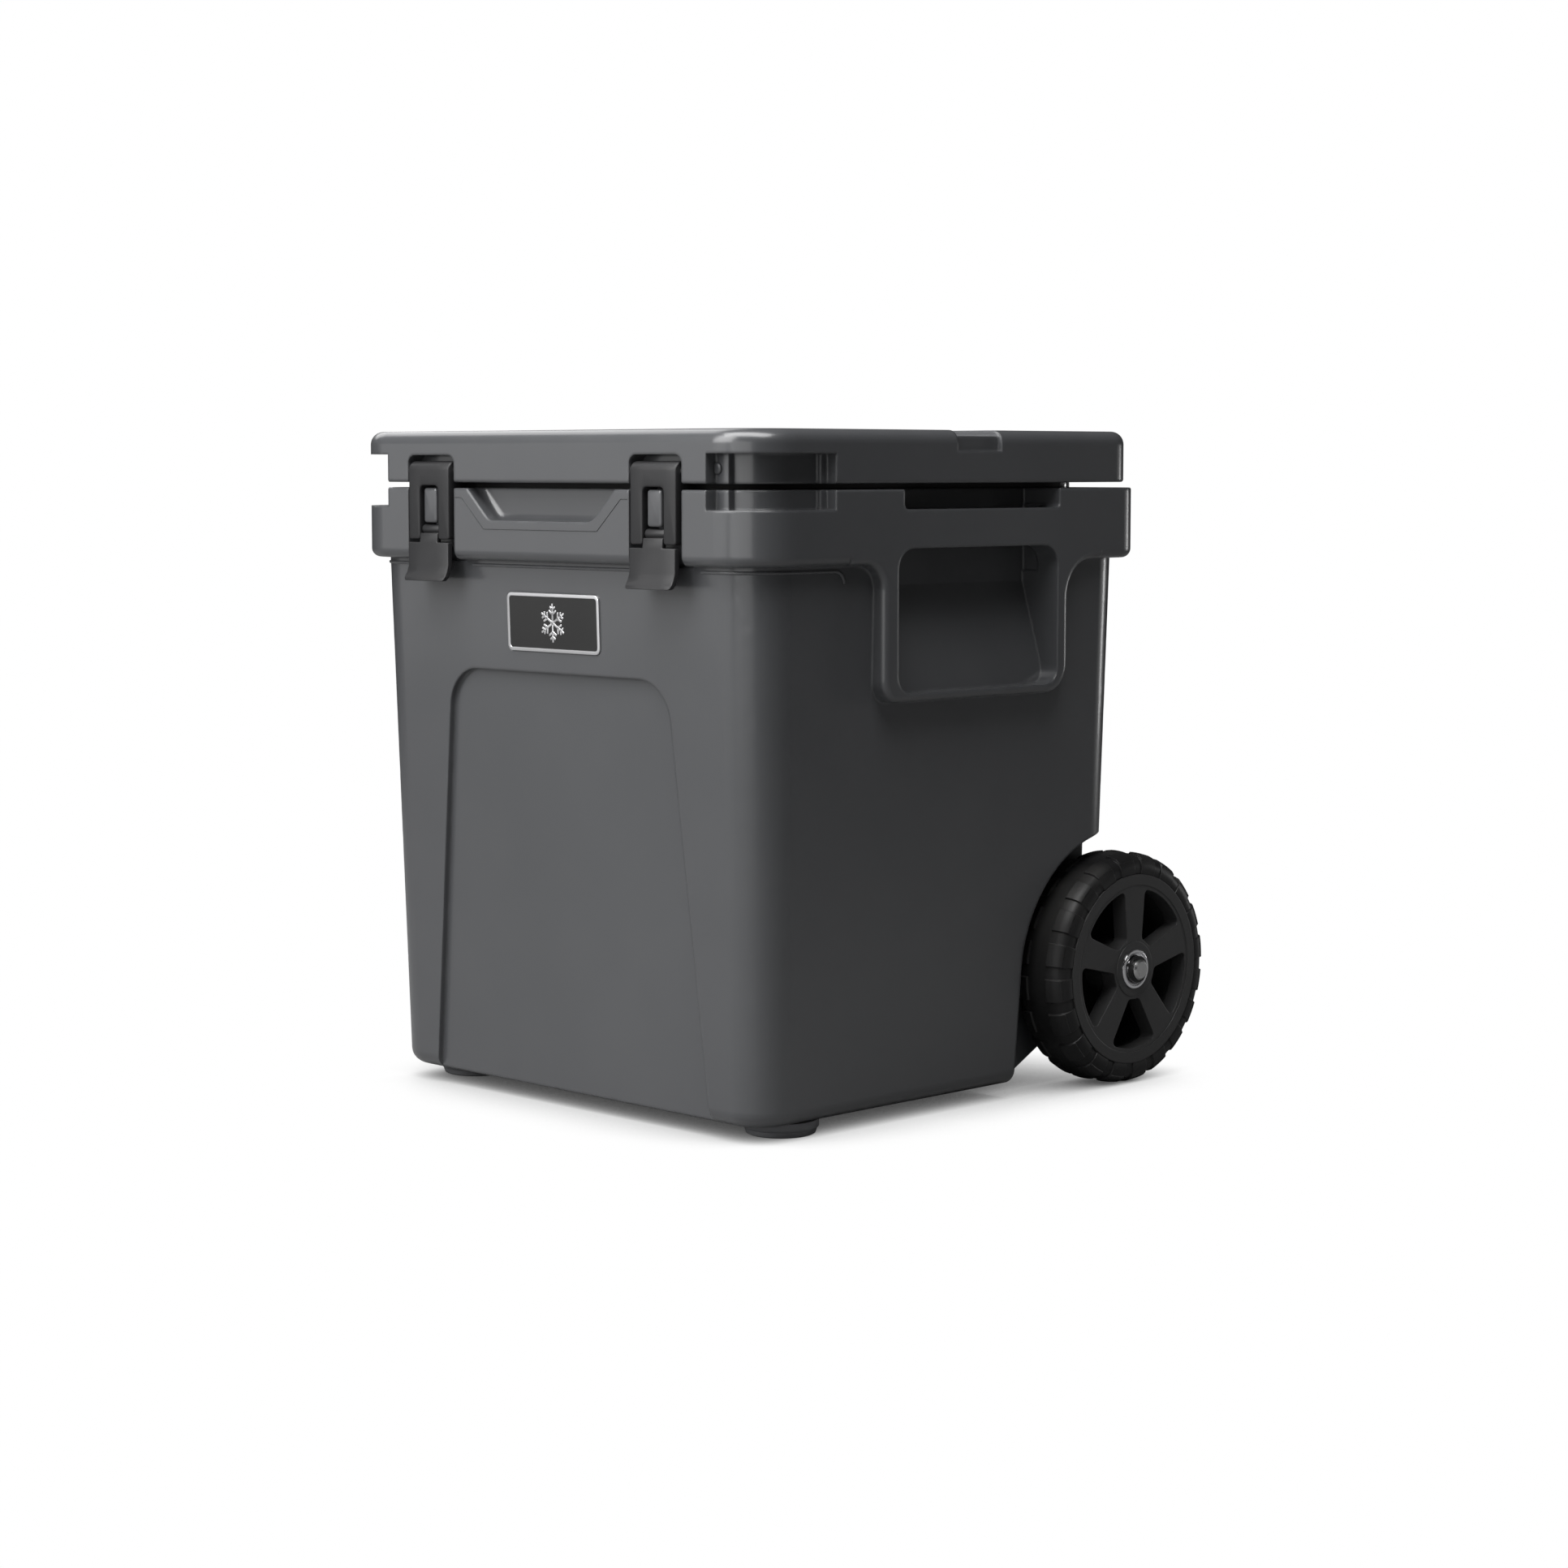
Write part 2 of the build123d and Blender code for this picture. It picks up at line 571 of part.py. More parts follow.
def latch_arm():
    """The right-hand latch arm: rounded top on its pin and two legs with the keeper's window between."""
    half, window = ARM_WIDTH / 2, WINDOW_WIDTH / 2
    x = (LATCH_CENTRE - half, LATCH_CENTRE + half)
    top_radius = 7.3
    legs = block(x, (ARM_PIN[0] - top_radius, 9), (428, ARM_PIN[1]))
    legs = fillet(legs.edges().filter_by(Axis.X).group_by(Axis.Z)[0], 3)
    legs = fillet(legs.edges().filter_by(Axis.Y).group_by(Axis.Z)[0], 3)
    arm = legs + bar_x(x, *ARM_PIN, top_radius)
    gap = block((LATCH_CENTRE - window, LATCH_CENTRE + window), (-10, 20), (420, 469))
    gap = fillet(long_edges(gap, Axis.Y).group_by(Axis.Z)[-1], 4)
    arm = arm - gap - bar_x((90, 160), *ARM_PIN, ARM_PIN_RADIUS + RUNNING_GAP)
    return arm - tab_pin()


def tab_pin():
    """The pin across the right-hand arm's legs."""
    half = ARM_WIDTH / 2 - 1.5
    return bar_x((LATCH_CENTRE - half, LATCH_CENTRE + half), *TAB_PIN, TAB_PIN_RADIUS)


def pull_tab():
    """The right-hand pull tab: knuckle, tongue and a wide plate whose lip flares forward."""
    half, tongue = ARM_WIDTH / 2, WINDOW_WIDTH / 2 - 0.7
    outline = [(-3.2, 425.5), (1.3, 425.5), (1.3, 407), (-4.6, 396), (LIP_FRONT, 397.2), (-3.2, 408.5)]
    lip = side_prism(outline, (LATCH_CENTRE - half, LATCH_CENTRE + half))
    ends = lip.edges().filter_by(lambda edge: abs(edge.tangent_at(0.5).X) < 0.01)
    lower = [edge for edge in ends if edge.center().Z < 398]
    lip = fillet(lower, 5)
    x = (LATCH_CENTRE - tongue, LATCH_CENTRE + tongue)
    tab = lip + block(x, (-0.8, 3), (422, TAB_PIN[1])) + bar_x(x, *TAB_PIN, TAB_KNUCKLE_RADIUS)
    return tab - bar_x((90, 160), *TAB_PIN, TAB_PIN_RADIUS + RUNNING_GAP)


def keeper():
    """The right-hand keeper post in its channel."""
    half = 7.6
    post = block((LATCH_CENTRE - half, LATCH_CENTRE + half), (-1, CHANNEL_DEPTH), (440.5, RIM_TOP))
    return fillet(post.faces().sort_by(Axis.Y)[0].edges(), 1.5)


# ---- tow handle ---------------------------------------------------------------------------------
def handle_tube(size):
    """One right-hand tube of the telescope."""
    outer, bore, low, high = size
    tube = bar_z(HANDLE_HALF_SPACING, HANDLE_DEPTH, (low, high), outer)
    return tube - bar_z(HANDLE_HALF_SPACING, HANDLE_DEPTH, (low, high), bore)


def tube_holes(radius, z):
    """The two upright holes that a crosspiece has for a pair of tubes."""
    return both_sides(bar_z(HANDLE_HALF_SPACING, HANDLE_DEPTH, z, radius))


def handle_bracket(middle, back_plane):
    """A bracket that holds the outer tubes off the tub's back."""
    flange = block((-116, 116), (back_plane - 2, 421), (middle - 20, middle + 20))
    flange = fillet(long_edges(flange, Axis.Y), 8)
    x = (HANDLE_HALF_SPACING - 17, HANDLE_HALF_SPACING + 17)
    arm = block(x, (415, 489), (middle - 15, middle + 15))
    arm = fillet(long_edges(arm, Axis.Z).group_by(Axis.Y)[-1], 12)
    for each in both_sides(arm):
        flange = flange + each
    flange = cut_all(flange, tube_holes(OUTER_TUBE[0], (middle - 30, middle + 30)))
    return flange - bracket_screws(middle)


def bracket_screws(middle):
    """The two screws of one handle bracket."""
    screw = bar_y(45, (403.5, 421), middle, SCREW_RADIUS) + bar_y(45, (421, 424.5), middle, SCREW_HEAD_RADIUS)
    pair = both_sides(screw)
    return pair[0] + pair[1]


def handle_bridge():
    """The crosspiece that joins the middle tubes."""
    bridge = block((-CROSSBAR_HALF, CROSSBAR_HALF), (461, 485), (404, 414))
    bridge = fillet(long_edges(bridge, Axis.Z), 8)
    return cut_all(bridge, tube_holes(MIDDLE_TUBE[0], (400, 420)))


BUTTON_HALF = (18.0, 6.5)
BUTTON_BOTTOM = 467.0


def handle_grip():
    """The handle's rounded crossbar, with a well for the release button."""
    grip = block((-CROSSBAR_HALF, CROSSBAR_HALF), (460.5, 485.5), (GRIP_BOTTOM, GRIP_TOP))
    grip = fillet(long_edges(grip, Axis.X), 9)
    grip = fillet(grip.edges().group_by(Axis.X)[0] + grip.edges().group_by(Axis.X)[-1], 4)
    gap = 0.4
    well = plate_at_grip(gap, BUTTON_BOTTOM - 4, GRIP_TOP + 1)
    return cut_all(grip - well, tube_holes(INNER_TUBE[0], (GRIP_BOTTOM - 1, INNER_TUBE[3])))


def plate_at_grip(grow, low, high):
    """An upright rounded block in the middle of the grip."""
    half_x, half_y = BUTTON_HALF
    face = RectangleRounded(2 * (half_x + grow), 2 * (half_y + grow), 4 + grow)
    return extrude(Pos(0, row_y(HANDLE_DEPTH), low) * face, high - low)


def release_button():
    """The button on the grip that frees the telescope."""
    return plate_at_grip(0, BUTTON_BOTTOM, GRIP_TOP + 2)


# ---- the assembly -------------------------------------------------------------------------------
BRACKETS = {"upper": (387.0, 413.2), "lower": (155.0, 407.0)}


def paired(pieces, name, shape):
    """Adds a right-hand piece and its mirror image."""
    right, left = both_sides(shape)
    pieces[f"{name}_right"] = right
    pieces[f"{name}_left"] = left


def tub_fittings():
    """Fixed pieces that are let into the tub."""
    pieces = {"body_fill_plug": fill_plug(), "nameplate": nameplate(), "drain_sleeve": drain_sleeve()}
    pieces["axle"] = axle()
    for side, (x, depth) in zip(("right", "left"), FOOT_PLACES):
        pieces[f"foot_screw_{side}"] = foot_screw(x, depth)
    paired(pieces, "axle_screws", axle_screws())
    paired(pieces, "axle_clamp", axle_clamp())
    paired(pieces, "hinge_rod", hinge_rod())
    for place, (middle, back_plane) in BRACKETS.items():
        pieces[f"bracket_screws_{place}"] = bracket_screws(middle)
        pieces[f"handle_bracket_{place}"] = handle_bracket(middle, back_plane)
    return pieces


def tub_pieces():
    """Every fixed piece of the tub."""
    pieces = tub_fittings()
    pieces["body_shell"] = body_shell(list(pieces.values()))
    pieces["body_foam"] = body_foam()
    for side, (x, depth) in zip(("right", "left"), FOOT_PLACES):
        pieces[f"foot_{side}"] = foot(x, depth)
    paired(pieces, "keeper", keeper())
    paired(pieces, "axle_washer", axle_ring((WELL_WALL, 184), 14))
    paired(pieces, "axle_retainer", axle_ring((HUB_FACE + 0.3, HUB_FACE + 2.5), 10.5))
    paired(pieces, "handle_outer_tube", handle_tube(OUTER_TUBE))
    return pieces


def lid_pieces():
    """Every piece that moves with the lid."""
    pieces = {"lid_fill_plug": lid_fill_plug()}
    paired(pieces, "latch_pin", latch_pin())
    pieces["lid_shell"] = lid_shell(list(pieces.values()))
    pieces["lid_foam"] = lid_foam() - pieces["lid_fill_plug"]
    pieces["lid_gasket"] = lid_gasket()
    paired(pieces, "latch_arm", latch_arm())
    paired(pieces, "tab_pin", tab_pin())
    paired(pieces, "pull_tab", pull_tab())
    return pieces


def rolling_pieces():
    """The two wheels."""
    pieces = {}
    paired(pieces, "tyre", tyre())
    paired(pieces, "wheel_rim", wheel_rim())
    for place, span in zip(("inner", "outer"), BEARING_SPANS):
        paired(pieces, f"bearing_{place}", bearing(span))
    return pieces


def sliding_pieces():
    """The moving parts of the handle, and the drain's stopper."""
    pieces = {"handle_bridge": handle_bridge(), "handle_grip": handle_grip()}
    pieces["release_button"] = release_button()
    paired(pieces, "handle_middle_tube", handle_tube(MIDDLE_TUBE))
    paired(pieces, "handle_inner_tube", handle_tube(INNER_TUBE))
    pieces["drain_knob"] = drain_knob()
    return pieces


def main():
    """Builds every piece and writes it as STEP."""
    os.makedirs("parts", exist_ok=True)
    pieces = tub_pieces() | lid_pieces() | rolling_pieces() | sliding_pieces()
    for name, shape in pieces.items():
        export_step(shape, f"parts/{name}.step")


main()
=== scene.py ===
"""Wheeled hard cooler: its finishes, fine pieces, studio and camera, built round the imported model.

Metres throughout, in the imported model's own frame: +Z up, the front towards -Y.
"""

import json
import logging
import math
from dataclasses import dataclass
from enum import Enum

import bmesh
import bpy
from mathutils import Matrix, Vector


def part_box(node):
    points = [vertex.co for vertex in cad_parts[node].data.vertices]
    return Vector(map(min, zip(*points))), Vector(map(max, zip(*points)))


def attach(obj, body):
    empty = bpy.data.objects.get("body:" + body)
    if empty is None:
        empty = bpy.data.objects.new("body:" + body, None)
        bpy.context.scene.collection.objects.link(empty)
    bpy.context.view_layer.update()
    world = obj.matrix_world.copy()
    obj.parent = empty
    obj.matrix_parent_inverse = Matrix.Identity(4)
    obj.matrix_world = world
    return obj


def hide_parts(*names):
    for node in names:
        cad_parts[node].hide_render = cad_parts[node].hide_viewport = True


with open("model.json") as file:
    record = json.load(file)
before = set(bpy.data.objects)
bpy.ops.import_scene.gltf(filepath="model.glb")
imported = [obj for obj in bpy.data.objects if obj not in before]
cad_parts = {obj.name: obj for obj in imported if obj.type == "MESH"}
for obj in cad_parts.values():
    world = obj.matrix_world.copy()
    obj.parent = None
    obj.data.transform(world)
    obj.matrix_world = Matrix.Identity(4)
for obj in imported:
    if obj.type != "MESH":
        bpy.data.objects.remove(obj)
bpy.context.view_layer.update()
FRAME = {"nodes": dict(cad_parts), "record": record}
LOG = logging.getLogger("cooler")
MM = 0.001
FLOAT = "NodeSocketFloat"
SHADE_SPAN = (0.1, 0.9)  # the values of the shade noise that run from the darkest shade to the lightest
DUST_COLOUR = (0.42, 0.4, 0.37)
DUST_ROUGHENS = 0.8
COAT_ROUGHNESS = 0.12
WEAR_REACH = 1.6  # how far wear reaches from an edge, in widths of its rounding
PLAIN = (1.0, 1.0, 1.0)  # the stretch of a surface that isn't brushed
ORIGIN = (0.0, 0.0, 0.0)
SMOOTH_UP_TO = 38.0  # degrees between two faces
TOUCHING = 0.000001  # points nearer than this are one point


class Side(Enum):
    """The cooler's two sides, as seen from the front."""

    RIGHT = 1
    LEFT = -1

    @property
    def word(self) -> str:
        """The side's name as the nodes spell it."""
        return self.name.lower()


# ---- shared shader effects ----------------------------------------------------------------------
class Shading:
    """Small helpers that place nodes in a node tree."""

    def __init__(self, tree: bpy.types.NodeTree) -> None:
        """Keeps the tree that the nodes go into."""
        self.tree = tree

    def node(self, kind: str, **settings: object) -> bpy.types.Node:
        """Adds a node.

        Args:
            kind: the node's type, such as ShaderNodeTexNoise.
            settings: attributes to set on the node.

        Returns:
            The new node.
        """
        made = self.tree.nodes.new(kind)
        for name, value in settings.items():
            setattr(made, name, value)
        return made

    def link(self, source: bpy.types.NodeSocket, target: bpy.types.NodeSocket) -> None:
        """Joins an output to an input."""
        self.tree.links.new(source, target)

    def math(self, operation: str, first: object, second: object) -> bpy.types.NodeSocket:
        """Adds a Math node.

        Args:
            operation: the node's operation, such as MULTIPLY.
            first: a socket or a number.
            second: a socket or a number.

        Returns:
            The node's output.
        """
        made = self.node("ShaderNodeMath", operation=operation)
        for place, value in enumerate((first, second)):
            if isinstance(value, bpy.types.NodeSocket):
                self.link(value, made.inputs[place])
            else:
                made.inputs[place].default_value = value
        return made.outputs[0]

    def noise(self, scale: object, detail: float, vector: bpy.types.NodeSocket) -> bpy.types.NodeSocket:
        """Adds a noise texture.

        Args:
            scale: a socket or a number.
            detail: how many octaves it has.
            vector: the coordinates it reads.

        Returns:
            The noise's value.
        """
        made = self.node("ShaderNodeTexNoise")
        made.inputs["Detail"].default_value = detail
        self.link(vector, made.inputs["Vector"])
        if isinstance(scale, bpy.types.NodeSocket):
            self.link(scale, made.inputs["Scale"])
        else:
            made.inputs["Scale"].default_value = scale
        return made.outputs[0]

    def spread(self, value: bpy.types.NodeSocket, source: tuple, target: tuple) -> bpy.types.NodeSocket:
        """Maps a value from one range to another, held at the ends.

        Args:
            value: the value to map.
            source: the range it comes from.
            target: the range it goes to; each end is a socket or a number.

        Returns:
            The mapped value.
        """
        made = self.node("ShaderNodeMapRange")
        self.link(value, made.inputs["Value"])
        made.inputs["From Min"].default_value, made.inputs["From Max"].default_value = source
        for name, end in zip(("To Min", "To Max"), target):
            if isinstance(end, bpy.types.NodeSocket):
                self.link(end, made.inputs[name])
            else:
                made.inputs[name].default_value = end
        return made.outputs["Result"]


def new_group(name: str, inputs: dict, outputs: dict) -> tuple:
    """Makes an empty shader node group.

    Args:
        name: the group's name.
        inputs: socket name to (socket type, default value).
        outputs: socket name to socket type.

    Returns:
        The tree, a helper for its nodes, its input node and its output node.
    """
    tree = bpy.data.node_groups.new(name, "ShaderNodeTree")
    for socket, (kind, value) in inputs.items():
        made = tree.interface.new_socket(name=socket, in_out="INPUT", socket_type=kind)
        made.default_value = value
    for socket, kind in outputs.items():
        tree.interface.new_socket(name=socket, in_out="OUTPUT", socket_type=kind)
    shading = Shading(tree)
    return tree, shading, shading.node("NodeGroupInput"), shading.node("NodeGroupOutput")


def moulding_group() -> bpy.types.NodeTree:
    """Surface of moulded plastic or rubber: fine grain, slow waviness and a slow change of shade.

    Returns:
        The group's node tree.
    """
    tree, shading, given, result = new_group(
        "Moulded surface",
        {"Grain scale": (FLOAT, 900.0), "Wave scale": (FLOAT, 14.0), "Wave share": (FLOAT, 0.5)},
        {"Height": FLOAT, "Shade": FLOAT},
    )
    place = shading.node("ShaderNodeTexCoord").outputs["Object"]
    grain = shading.noise(given.outputs["Grain scale"], 3.0, place)
    wave = shading.noise(given.outputs["Wave scale"], 1.0, place)
    waved = shading.math("MULTIPLY", wave, given.outputs["Wave share"])
    shading.link(shading.math("ADD", grain, waved), result.inputs["Height"])
    shading.link(shading.noise(3.0, 4.0, place), result.inputs["Shade"])
    return tree


def wear_group() -> bpy.types.NodeTree:
    """Edge wear: a mask of the outer edges, broken up by noise.

    Returns:
        The group's node tree.
    """
    tree, shading, given, result = new_group(
        "Edge wear",
        {"Width": (FLOAT, 0.0015), "Break-up": (FLOAT, 60.0), "Strength": (FLOAT, 0.5)},
        {"Mask": FLOAT},
    )
    rounded = shading.node("ShaderNodeBevel", samples=4)
    shading.link(given.outputs["Width"], rounded.inputs["Radius"])
    plain = shading.node("ShaderNodeNewGeometry")
    dot = shading.node("ShaderNodeVectorMath", operation="DOT_PRODUCT")
    shading.link(rounded.outputs[0], dot.inputs[0])
    shading.link(plain.outputs["Normal"], dot.inputs[1])
    edge = shading.spread(dot.outputs["Value"], (0.995, 0.9), (0.0, 1.0))
    place = shading.node("ShaderNodeTexCoord").outputs["Object"]
    broken = shading.spread(shading.noise(given.outputs["Break-up"], 4.0, place), (0.45, 0.65), (0.0, 1.0))
    worn = shading.math("MULTIPLY", edge, broken)
    shading.link(shading.math("MULTIPLY", worn, given.outputs["Strength"]), result.inputs["Mask"])
    return tree


def dust_group() -> bpy.types.NodeTree:
    """Dust: a mask that is strongest on faces that look up, broken up by noise.

    Returns:
        The group's node tree.
    """
    tree, shading, given, result = new_group(
        "Settled dust", {"Strength": (FLOAT, 0.1), "Scale": (FLOAT, 25.0)}, {"Mask": FLOAT}
    )
    normal = shading.node("ShaderNodeNewGeometry").outputs["Normal"]
    parts = shading.node("ShaderNodeSeparateXYZ")
    shading.link(normal, parts.inputs[0])
    up = shading.spread(parts.outputs["Z"], (0.1, 1.0), (0.25, 1.0))
    place = shading.node("ShaderNodeTexCoord").outputs["Object"]
    cloud = shading.spread(shading.noise(given.outputs["Scale"], 5.0, place), (0.4, 0.75), (0.0, 1.0))
    dusty = shading.math("MULTIPLY", up, cloud)
    shading.link(shading.math("MULTIPLY", dusty, given.outputs["Strength"]), result.inputs["Mask"])
    return tree


class Effects:
    """The shared node groups, each built once."""

    def __init__(self) -> None:
        """Builds the groups."""
        self.moulding = moulding_group()
        self.wear = wear_group()
        self.dust = dust_group()


# ---- finishes -----------------------------------------------------------------------------------
@dataclass(frozen=True)
class Finish:
    """A surface finish, from smooth plastic to brushed metal."""

    name: str
    slot: str
    colour: tuple
    roughness: float
    roughness_change: float = 0.06
    shade_change: float = 0.12
    metallic: float = 0.0
    coat: float = 0.0
    specular: float = 0.5
    grain_scale: float = 900.0
    grain_depth: float = 0.00002
    wave_share: float = 0.5
    edge_round: float = 0.0008
    wear_colour: tuple = (0.2, 0.2, 0.2)
    wear: float = 0.3
    dust: float = 0.06
    brushed: tuple = PLAIN

    def material(self, effects: Effects) -> bpy.types.Material:
        """Builds the Blender material.

        Args:
            effects: the shared node groups.

        Returns:
            The material.
        """
        made = bpy.data.materials.new(self.name)
        made.use_nodes = True
        made.diffuse_color = (*self.colour, 1.0)
        shading = Shading(made.node_tree)
        made.node_tree.nodes.clear()
        shader = shading.node("ShaderNodeBsdfPrincipled")
        output = shading.node("ShaderNodeOutputMaterial")
        shading.link(shader.outputs[0], output.inputs["Surface"])
        shader.inputs["Metallic"].default_value = self.metallic
        shader.inputs["Coat Weight"].default_value = self.coat
        shader.inputs["Coat Roughness"].default_value = COAT_ROUGHNESS
        shader.inputs["Specular IOR Level"].default_value = self.specular
        moulded = {"Grain scale": self.grain_scale, "Wave share": self.wave_share}
        surface = self._group(shading, effects.moulding, moulded)
        worn = {"Width": self.edge_round * WEAR_REACH, "Strength": self.wear}
        wear = self._group(shading, effects.wear, worn)
        dust = self._group(shading, effects.dust, {"Strength": self.dust})
        shade = surface.outputs["Shade"]
        self._link_colour(shading, shader, shade, wear.outputs["Mask"], dust.outputs["Mask"])
        low, high = self.roughness - self.roughness_change, self.roughness + self.roughness_change
        rough = shading.spread(shade, SHADE_SPAN, (low, high))
        rougher = shading.math("MULTIPLY", dust.outputs["Mask"], DUST_ROUGHENS)
        shading.link(shading.math("ADD", rough, rougher), shader.inputs["Roughness"])
        rounded = shading.node("ShaderNodeBevel", samples=6)
        rounded.inputs["Radius"].default_value = self.edge_round
        bump = shading.node("ShaderNodeBump")
        bump.inputs["Distance"].default_value = self.grain_depth
        shading.link(self._height(shading, surface), bump.inputs["Height"])
        shading.link(rounded.outputs[0], bump.inputs["Normal"])
        shading.link(bump.outputs[0], shader.inputs["Normal"])
        return made

    def _group(self, shading: Shading, tree: bpy.types.NodeTree, values: dict) -> bpy.types.Node:
        """Places a node group with its own values.

        Args:
            shading: the helper for the material's nodes.
            tree: the group's node tree.
            values: socket name to value.

        Returns:
            The group's node.
        """
        made = shading.node("ShaderNodeGroup", node_tree=tree)
        for name, value in values.items():
            made.inputs[name].default_value = value
        return made

    def _height(self, shading: Shading, surface: bpy.types.Node) -> bpy.types.NodeSocket:
        """The relief: the moulded grain, or fine lines where the metal is brushed.

        Args:
            shading: the helper for the material's nodes.
            surface: the moulded surface's group node.

        Returns:
            The height's socket.
        """
        if self.brushed == PLAIN:
            return surface.outputs["Height"]
        stretch = shading.node("ShaderNodeMapping")
        stretch.inputs["Scale"].default_value = self.brushed
        shading.link(shading.node("ShaderNodeTexCoord").outputs["Object"], stretch.inputs["Vector"])
        return shading.noise(self.grain_scale, 2.0, stretch.outputs[0])

    def _link_colour(
        self,
        shading: Shading,
        shader: bpy.types.Node,
        shade: bpy.types.NodeSocket,
        worn: bpy.types.NodeSocket,
        dusty: bpy.types.NodeSocket,
    ) -> None:
        """Feeds Base Color: two shades of the colour, worn edges, then dust.

        Args:
            shading: the helper for the material's nodes.
            shader: the material's shader.
            shade: the slow change of shade.
            worn: the mask of worn edges.
            dusty: the mask of dust.
        """
        ramp = shading.node("ShaderNodeValToRGB")
        dark, light = 1.0 - self.shade_change, 1.0 + self.shade_change
        for element, place, factor in zip(ramp.color_ramp.elements, SHADE_SPAN, (dark, light)):
            element.position = place
            element.color = (*(channel * factor for channel in self.colour), 1.0)
        shading.link(shade, ramp.inputs[0])
        colour = ramp.outputs[0]
        for mask, over in ((worn, self.wear_colour), (dusty, DUST_COLOUR)):
            mix = shading.node("ShaderNodeMix", data_type="RGBA")
            shading.link(mask, mix.inputs[0])
            shading.link(colour, mix.inputs[6])
            mix.inputs[7].default_value = (*over, 1.0)
            colour = mix.outputs[2]
        shading.link(colour, shader.inputs["Base Color"])


SHELL = Finish(
    "Charcoal rotomoulded plastic", "tub_plastic", (0.055, 0.0565, 0.06), 0.3, coat=0.3, grain_depth=0.000012,
    wave_share=2.0, edge_round=0.003, wear_colour=(0.11, 0.112, 0.118), wear=0.25, dust=0.02,
)
LATCH = Finish(
    "Black latch rubber", "latch_rubber", (0.014, 0.014, 0.015), 0.46, specular=0.35, grain_depth=0.00003,
    edge_round=0.0012, wear_colour=(0.05, 0.05, 0.05), dust=0.02,
)
GASKET = Finish("Soft gasket rubber", "gasket_rubber", (0.02, 0.02, 0.02), 0.7, dust=0.03)
KEEPER = Finish(
    "Charcoal keeper plastic", "keeper_plastic", (0.055, 0.0565, 0.06), 0.3, coat=0.3, edge_round=0.0012,
    dust=0.02,
)
FOOT = Finish("Grey foot rubber", "foot_rubber", (0.11, 0.112, 0.118), 0.55, edge_round=0.001, dust=0.1)
BLACK = Finish(
    "Black moulded plastic", "black_plastic", (0.034, 0.034, 0.0345), 0.38, specular=0.35,
    grain_depth=0.00003, wear_colour=(0.06, 0.06, 0.06), dust=0.02,
)
TYRE = Finish(
    "Tyre rubber", "tyre_rubber", (0.011, 0.011, 0.0115), 0.42, specular=0.25, grain_scale=500.0,
    grain_depth=0.00006, wear_colour=(0.05, 0.05, 0.05),
)
# painted shade: near-black inner plastic that stands for the shade seen through the wheel's windows
SHADE_PAINTED_WEB = Finish(
    "Unlit inner plastic", "black_plastic", (0.002, 0.002, 0.002), 0.8, specular=0.1, wear=0.0, dust=0.0
)
STEEL = Finish(
    "Turned steel", "steel", (0.55, 0.55, 0.55), 0.28, metallic=1.0, shade_change=0.05, grain_depth=0.000006,
    edge_round=0.0004, wear=0.1, wear_colour=(0.8, 0.8, 0.8), dust=0.02, brushed=(0.05, 1.0, 1.0),
)
CHROME = Finish(
    "Bright chrome", "chrome", (0.78, 0.78, 0.8), 0.09, roughness_change=0.03, metallic=1.0,
    shade_change=0.03, grain_depth=0.000003, edge_round=0.0004, wear=0.0, dust=0.02,
)
ALUMINIUM = Finish(
    "Drawn aluminium", "aluminium", (0.6, 0.6, 0.62), 0.3, metallic=1.0, shade_change=0.05,
    grain_depth=0.00001, edge_round=0.0004, wear=0.15, wear_colour=(0.85, 0.85, 0.85), dust=0.02,
    brushed=(1.0, 1.0, 0.02),
)
PLATE = Finish(
    "Satin plate metal", "plate", (0.62, 0.62, 0.63), 0.35, metallic=0.9, shade_change=0.04,
    grain_depth=0.00001, edge_round=0.0005, wear=0.0, dust=0.01, brushed=(0.02, 1.0, 1.0),
)
PLATE_FIELD = Finish("Black plate enamel", "plate", (0.006, 0.006, 0.006), 0.3, dust=0.02)
CIRCLIP = Finish("Blackened spring steel", "black_steel", (0.02, 0.02, 0.02), 0.35, metallic=0.6, dust=0.02)
FOAM = Finish(
    "Insulating foam", "foam", (0.78, 0.68, 0.42), 0.9, shade_change=0.1, grain_scale=300.0,
    grain_depth=0.0003,
)
FINISHES = (
    SHELL, LATCH, GASKET, KEEPER, FOOT, BLACK, TYRE, SHADE_PAINTED_WEB, STEEL, CHROME, ALUMINIUM, PLATE, PLATE_FIELD,
    CIRCLIP, FOAM,
)


